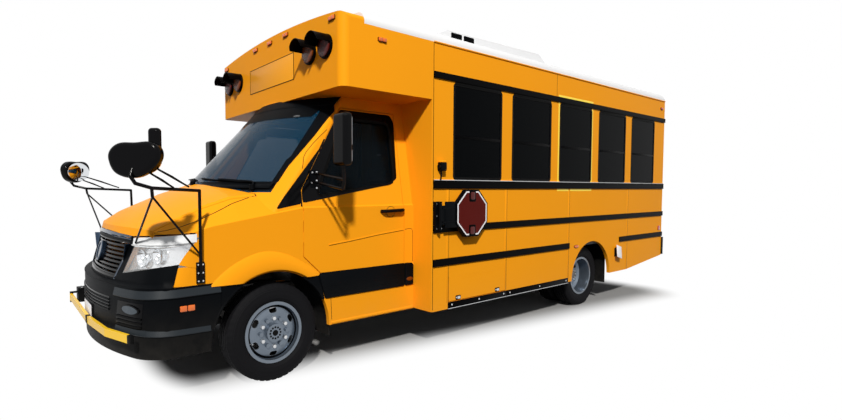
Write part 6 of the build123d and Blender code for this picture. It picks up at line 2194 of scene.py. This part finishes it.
# ---------------------------------------------------------------- inside
@dataclass
class Interior:
    """Padded seats, dashboard and floor coverings."""

    first: float = -2.760
    pitch: float = 0.730
    rows: int = 5

    def build(self, bus: Bus) -> None:
        """Dresses the inside and replaces the seats with padded ones."""
        bus.dress(Paint.TRIM, "dashboard")
        bus.dress(Paint.FLOOR, "cab_floor", "body_floor")
        bus.dress(Paint.PLASTIC, "steering_wheel")
        cushion = self._pad((-0.430, 0.262, 1.202), (0.0, 1.168, 1.318), 0.035)
        back = self._pad((-0.088, 0.262, 1.215), (0.0, 1.168, 1.898), 0.030, lean=-0.102)
        self._benches(bus, "bench_cushions", cushion, 0.0)
        self._benches(bus, "bench_backs", back, -0.342)
        self._frames(bus)
        self._driver_seat(bus)

    @staticmethod
    def _pad(low: Point, high: Point, crown: float, lean: float = 0.0) -> bpy.types.Mesh:
        """Crowned pad whose sides pull in between its corners.

        Args:
            low: Lowest corner of the space that it fills.
            high: Highest corner.
            crown: How far its faces swell.
            lean: How far its top leans along the bus.

        Returns:
            The pad's mesh.
        """
        part = bmesh.new()
        bmesh.ops.create_cube(part, size=2.0)
        bmesh.ops.subdivide_edges(part, edges=part.edges[:], cuts=11, use_grid_fill=True)
        middle = (Vector(low) + Vector(high)) / 2
        half = (Vector(high) - Vector(low)) / 2
        thin = min(range(3), key=lambda axis: half[axis])
        for vert in part.verts:
            u = vert.co.copy()
            place = Vector((0.0, 0.0, 0.0))
            others = [axis for axis in range(3) if axis != thin]
            bulge = math.prod(1 - abs(u[axis]) ** 4 for axis in others)
            for axis in others:
                along = next(a for a in others if a != axis)
                waist = 0.012 * (1 - u[along] ** 2)
                place[axis] = u[axis] * (half[axis] - waist * abs(u[axis]) ** 6)
                place[axis] -= math.copysign(0.014, u[axis]) * abs(u[axis]) ** 10 * u[thin] ** 2
            channel = 0.006 * math.exp(-((abs(u[others[0]]) - 0.5) / 0.05) ** 2)
            channel = channel if others[0] == 1 or others[1] == 1 else 0.0
            place[thin] = u[thin] * (half[thin] - crown * 0.6 + crown * 0.6 * bulge - channel)
            place += middle
            if lean:
                place.x += lean * (place.z - low[2]) / (high[2] - low[2])
            vert.co = place
        mesh = bpy.data.meshes.new("pad")
        part.to_mesh(mesh)
        part.free()
        return mesh

    def _benches(self, bus: Bus, name: str, pad: bpy.types.Mesh, offset: float) -> None:
        """Repeats one pad along both sides of the aisle.

        Args:
            bus: The frame.
            name: Name of the piece.
            pad: The pad's mesh.
            offset: Where it stands, from the bench's front.
        """
        shape = Shape(name)
        for row in range(self.rows):
            for side in (1, -1):
                part = bmesh.new()
                part.from_mesh(pad)
                shift = Matrix.Translation((self.first - row * self.pitch + offset, 0.0, 0.0))
                flip = Matrix.Scale(side, 4, (0.0, 1.0, 0.0))
                bmesh.ops.transform(part, matrix=shift @ flip, verts=part.verts)
                if side < 0:
                    bmesh.ops.reverse_faces(part, faces=part.faces)
                shape.take(part, 0)
        piece = shape.finish(bus, "vehicle", [Paint.VINYL], ["seats"], 60.0)
        self._smooth(piece)

    @staticmethod
    def _smooth(piece: bpy.types.Object) -> None:
        """Adds one level of subdivision."""
        for edge in piece.data.edges:
            edge.use_edge_sharp = False
        surface = piece.modifiers.new("upholstery", "SUBSURF")
        surface.levels = 1
        surface.render_levels = 1

    def _frames(self, bus: Bus) -> None:
        """Steel legs and side frames under the benches."""
        shape = Shape("bench_frames")
        for row in range(self.rows):
            x = self.first - row * self.pitch
            for side in (1, -1):
                for y in (0.34, 1.10):
                    for foot in (x - 0.06, x - 0.38):
                        shape.tube([(foot, side * y, 0.851), (foot, side * y, 1.203)], 0.013)
                    shape.tube([(x - 0.02, side * y, 1.190), (x - 0.42, side * y, 1.190)], 0.012)
        shape.finish(bus, "vehicle", [Paint.CHASSIS], ["seats"])

    def _driver_seat(self, bus: Bus) -> None:
        """Driver's cushion, back, head rest and base."""
        lean = -math.tan(math.radians(10)) * 0.70
        for name, low, high, crown, slope in (
                ("driver_cushion", (-1.318, 0.192, 0.902), (-0.832, 0.668, 1.038), 0.04, 0.0),
                ("driver_back", (-1.322, 0.197, 1.030), (-1.215, 0.663, 1.560), 0.035, lean * 0.75),
                ("driver_head_rest", (-1.452, 0.300, 1.585), (-1.362, 0.560, 1.720), 0.025, -0.02)):
            shape = Shape(name)
            part = bmesh.new()
            part.from_mesh(self._pad(low, high, crown, slope))
            shape.take(part, 0)
            piece = shape.finish(bus, "vehicle", [Paint.VINYL], ["seats"], 60.0)
            self._smooth(piece)
        base = Shape("driver_seat_base")
        base.box((-1.288, 0.252, 0.662), (-0.932, 0.608, 0.780), 0.01)
        base.box((-1.26, 0.28, 0.780), (-0.96, 0.58, 0.860), 0.006, 1)
        base.box((-1.30, 0.20, 0.860), (-0.85, 0.66, 0.906), 0.01)
        for y in (0.36, 0.50):
            base.tube([(-1.398, y, 1.54), (-1.404, y, 1.60)], 0.006, 10, 1)
        base.finish(bus, "vehicle", [Paint.CHASSIS, Paint.PLASTIC], ["seats"])


@dataclass
class RoofUnit:
    """Fairing and grilles of the roof-top air conditioner."""

    def build(self, bus: Bus) -> None:
        """Dresses the fairing and adds its two dark side grilles."""
        bus.dress(Paint.WHITE, "roof_unit")
        shape = Shape("roof_unit_grilles")
        for side in (1, -1):
            for low, high in ((-2.285, -2.120), (-2.480, -2.315)):
                y = side * 0.800
                shape.prism(rounded_rect((low, 3.060), (high, 3.140), 0.012, 4), Axis.Y, y - side * 0.001,
                            y + side * 0.003, 0.001)
                for k in range(5):
                    z = 3.070 + 0.014 * k
                    edge = sorted((y, y + side * 0.006))
                    shape.box((low + 0.008, edge[0], z), (high - 0.008, edge[1], z + 0.004), 0.001, 1)
        shape.finish(bus, "vehicle", [Paint.RAIL, Paint.PLASTIC])


# ---------------------------------------------------------------- main
def main() -> None:
    """Builds every sub-assembly in order."""
    logging.basicConfig(level=logging.INFO, format="%(name)s %(message)s")
    bus = Bus(FinishShop())
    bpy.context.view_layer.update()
    for part in (Studio(), BodyPanels(), BodyWindows(), RearEnd(), Entrance(), Lamps(), FrontCap(), Cab(), Nose(),
                 SafetyArms(), Wheels(), Underside(), Interior(), RoofUnit()):
        part.build(bus)
        LOG.info("%s built", type(part).__name__)


if __name__ == "__main__":
    main()
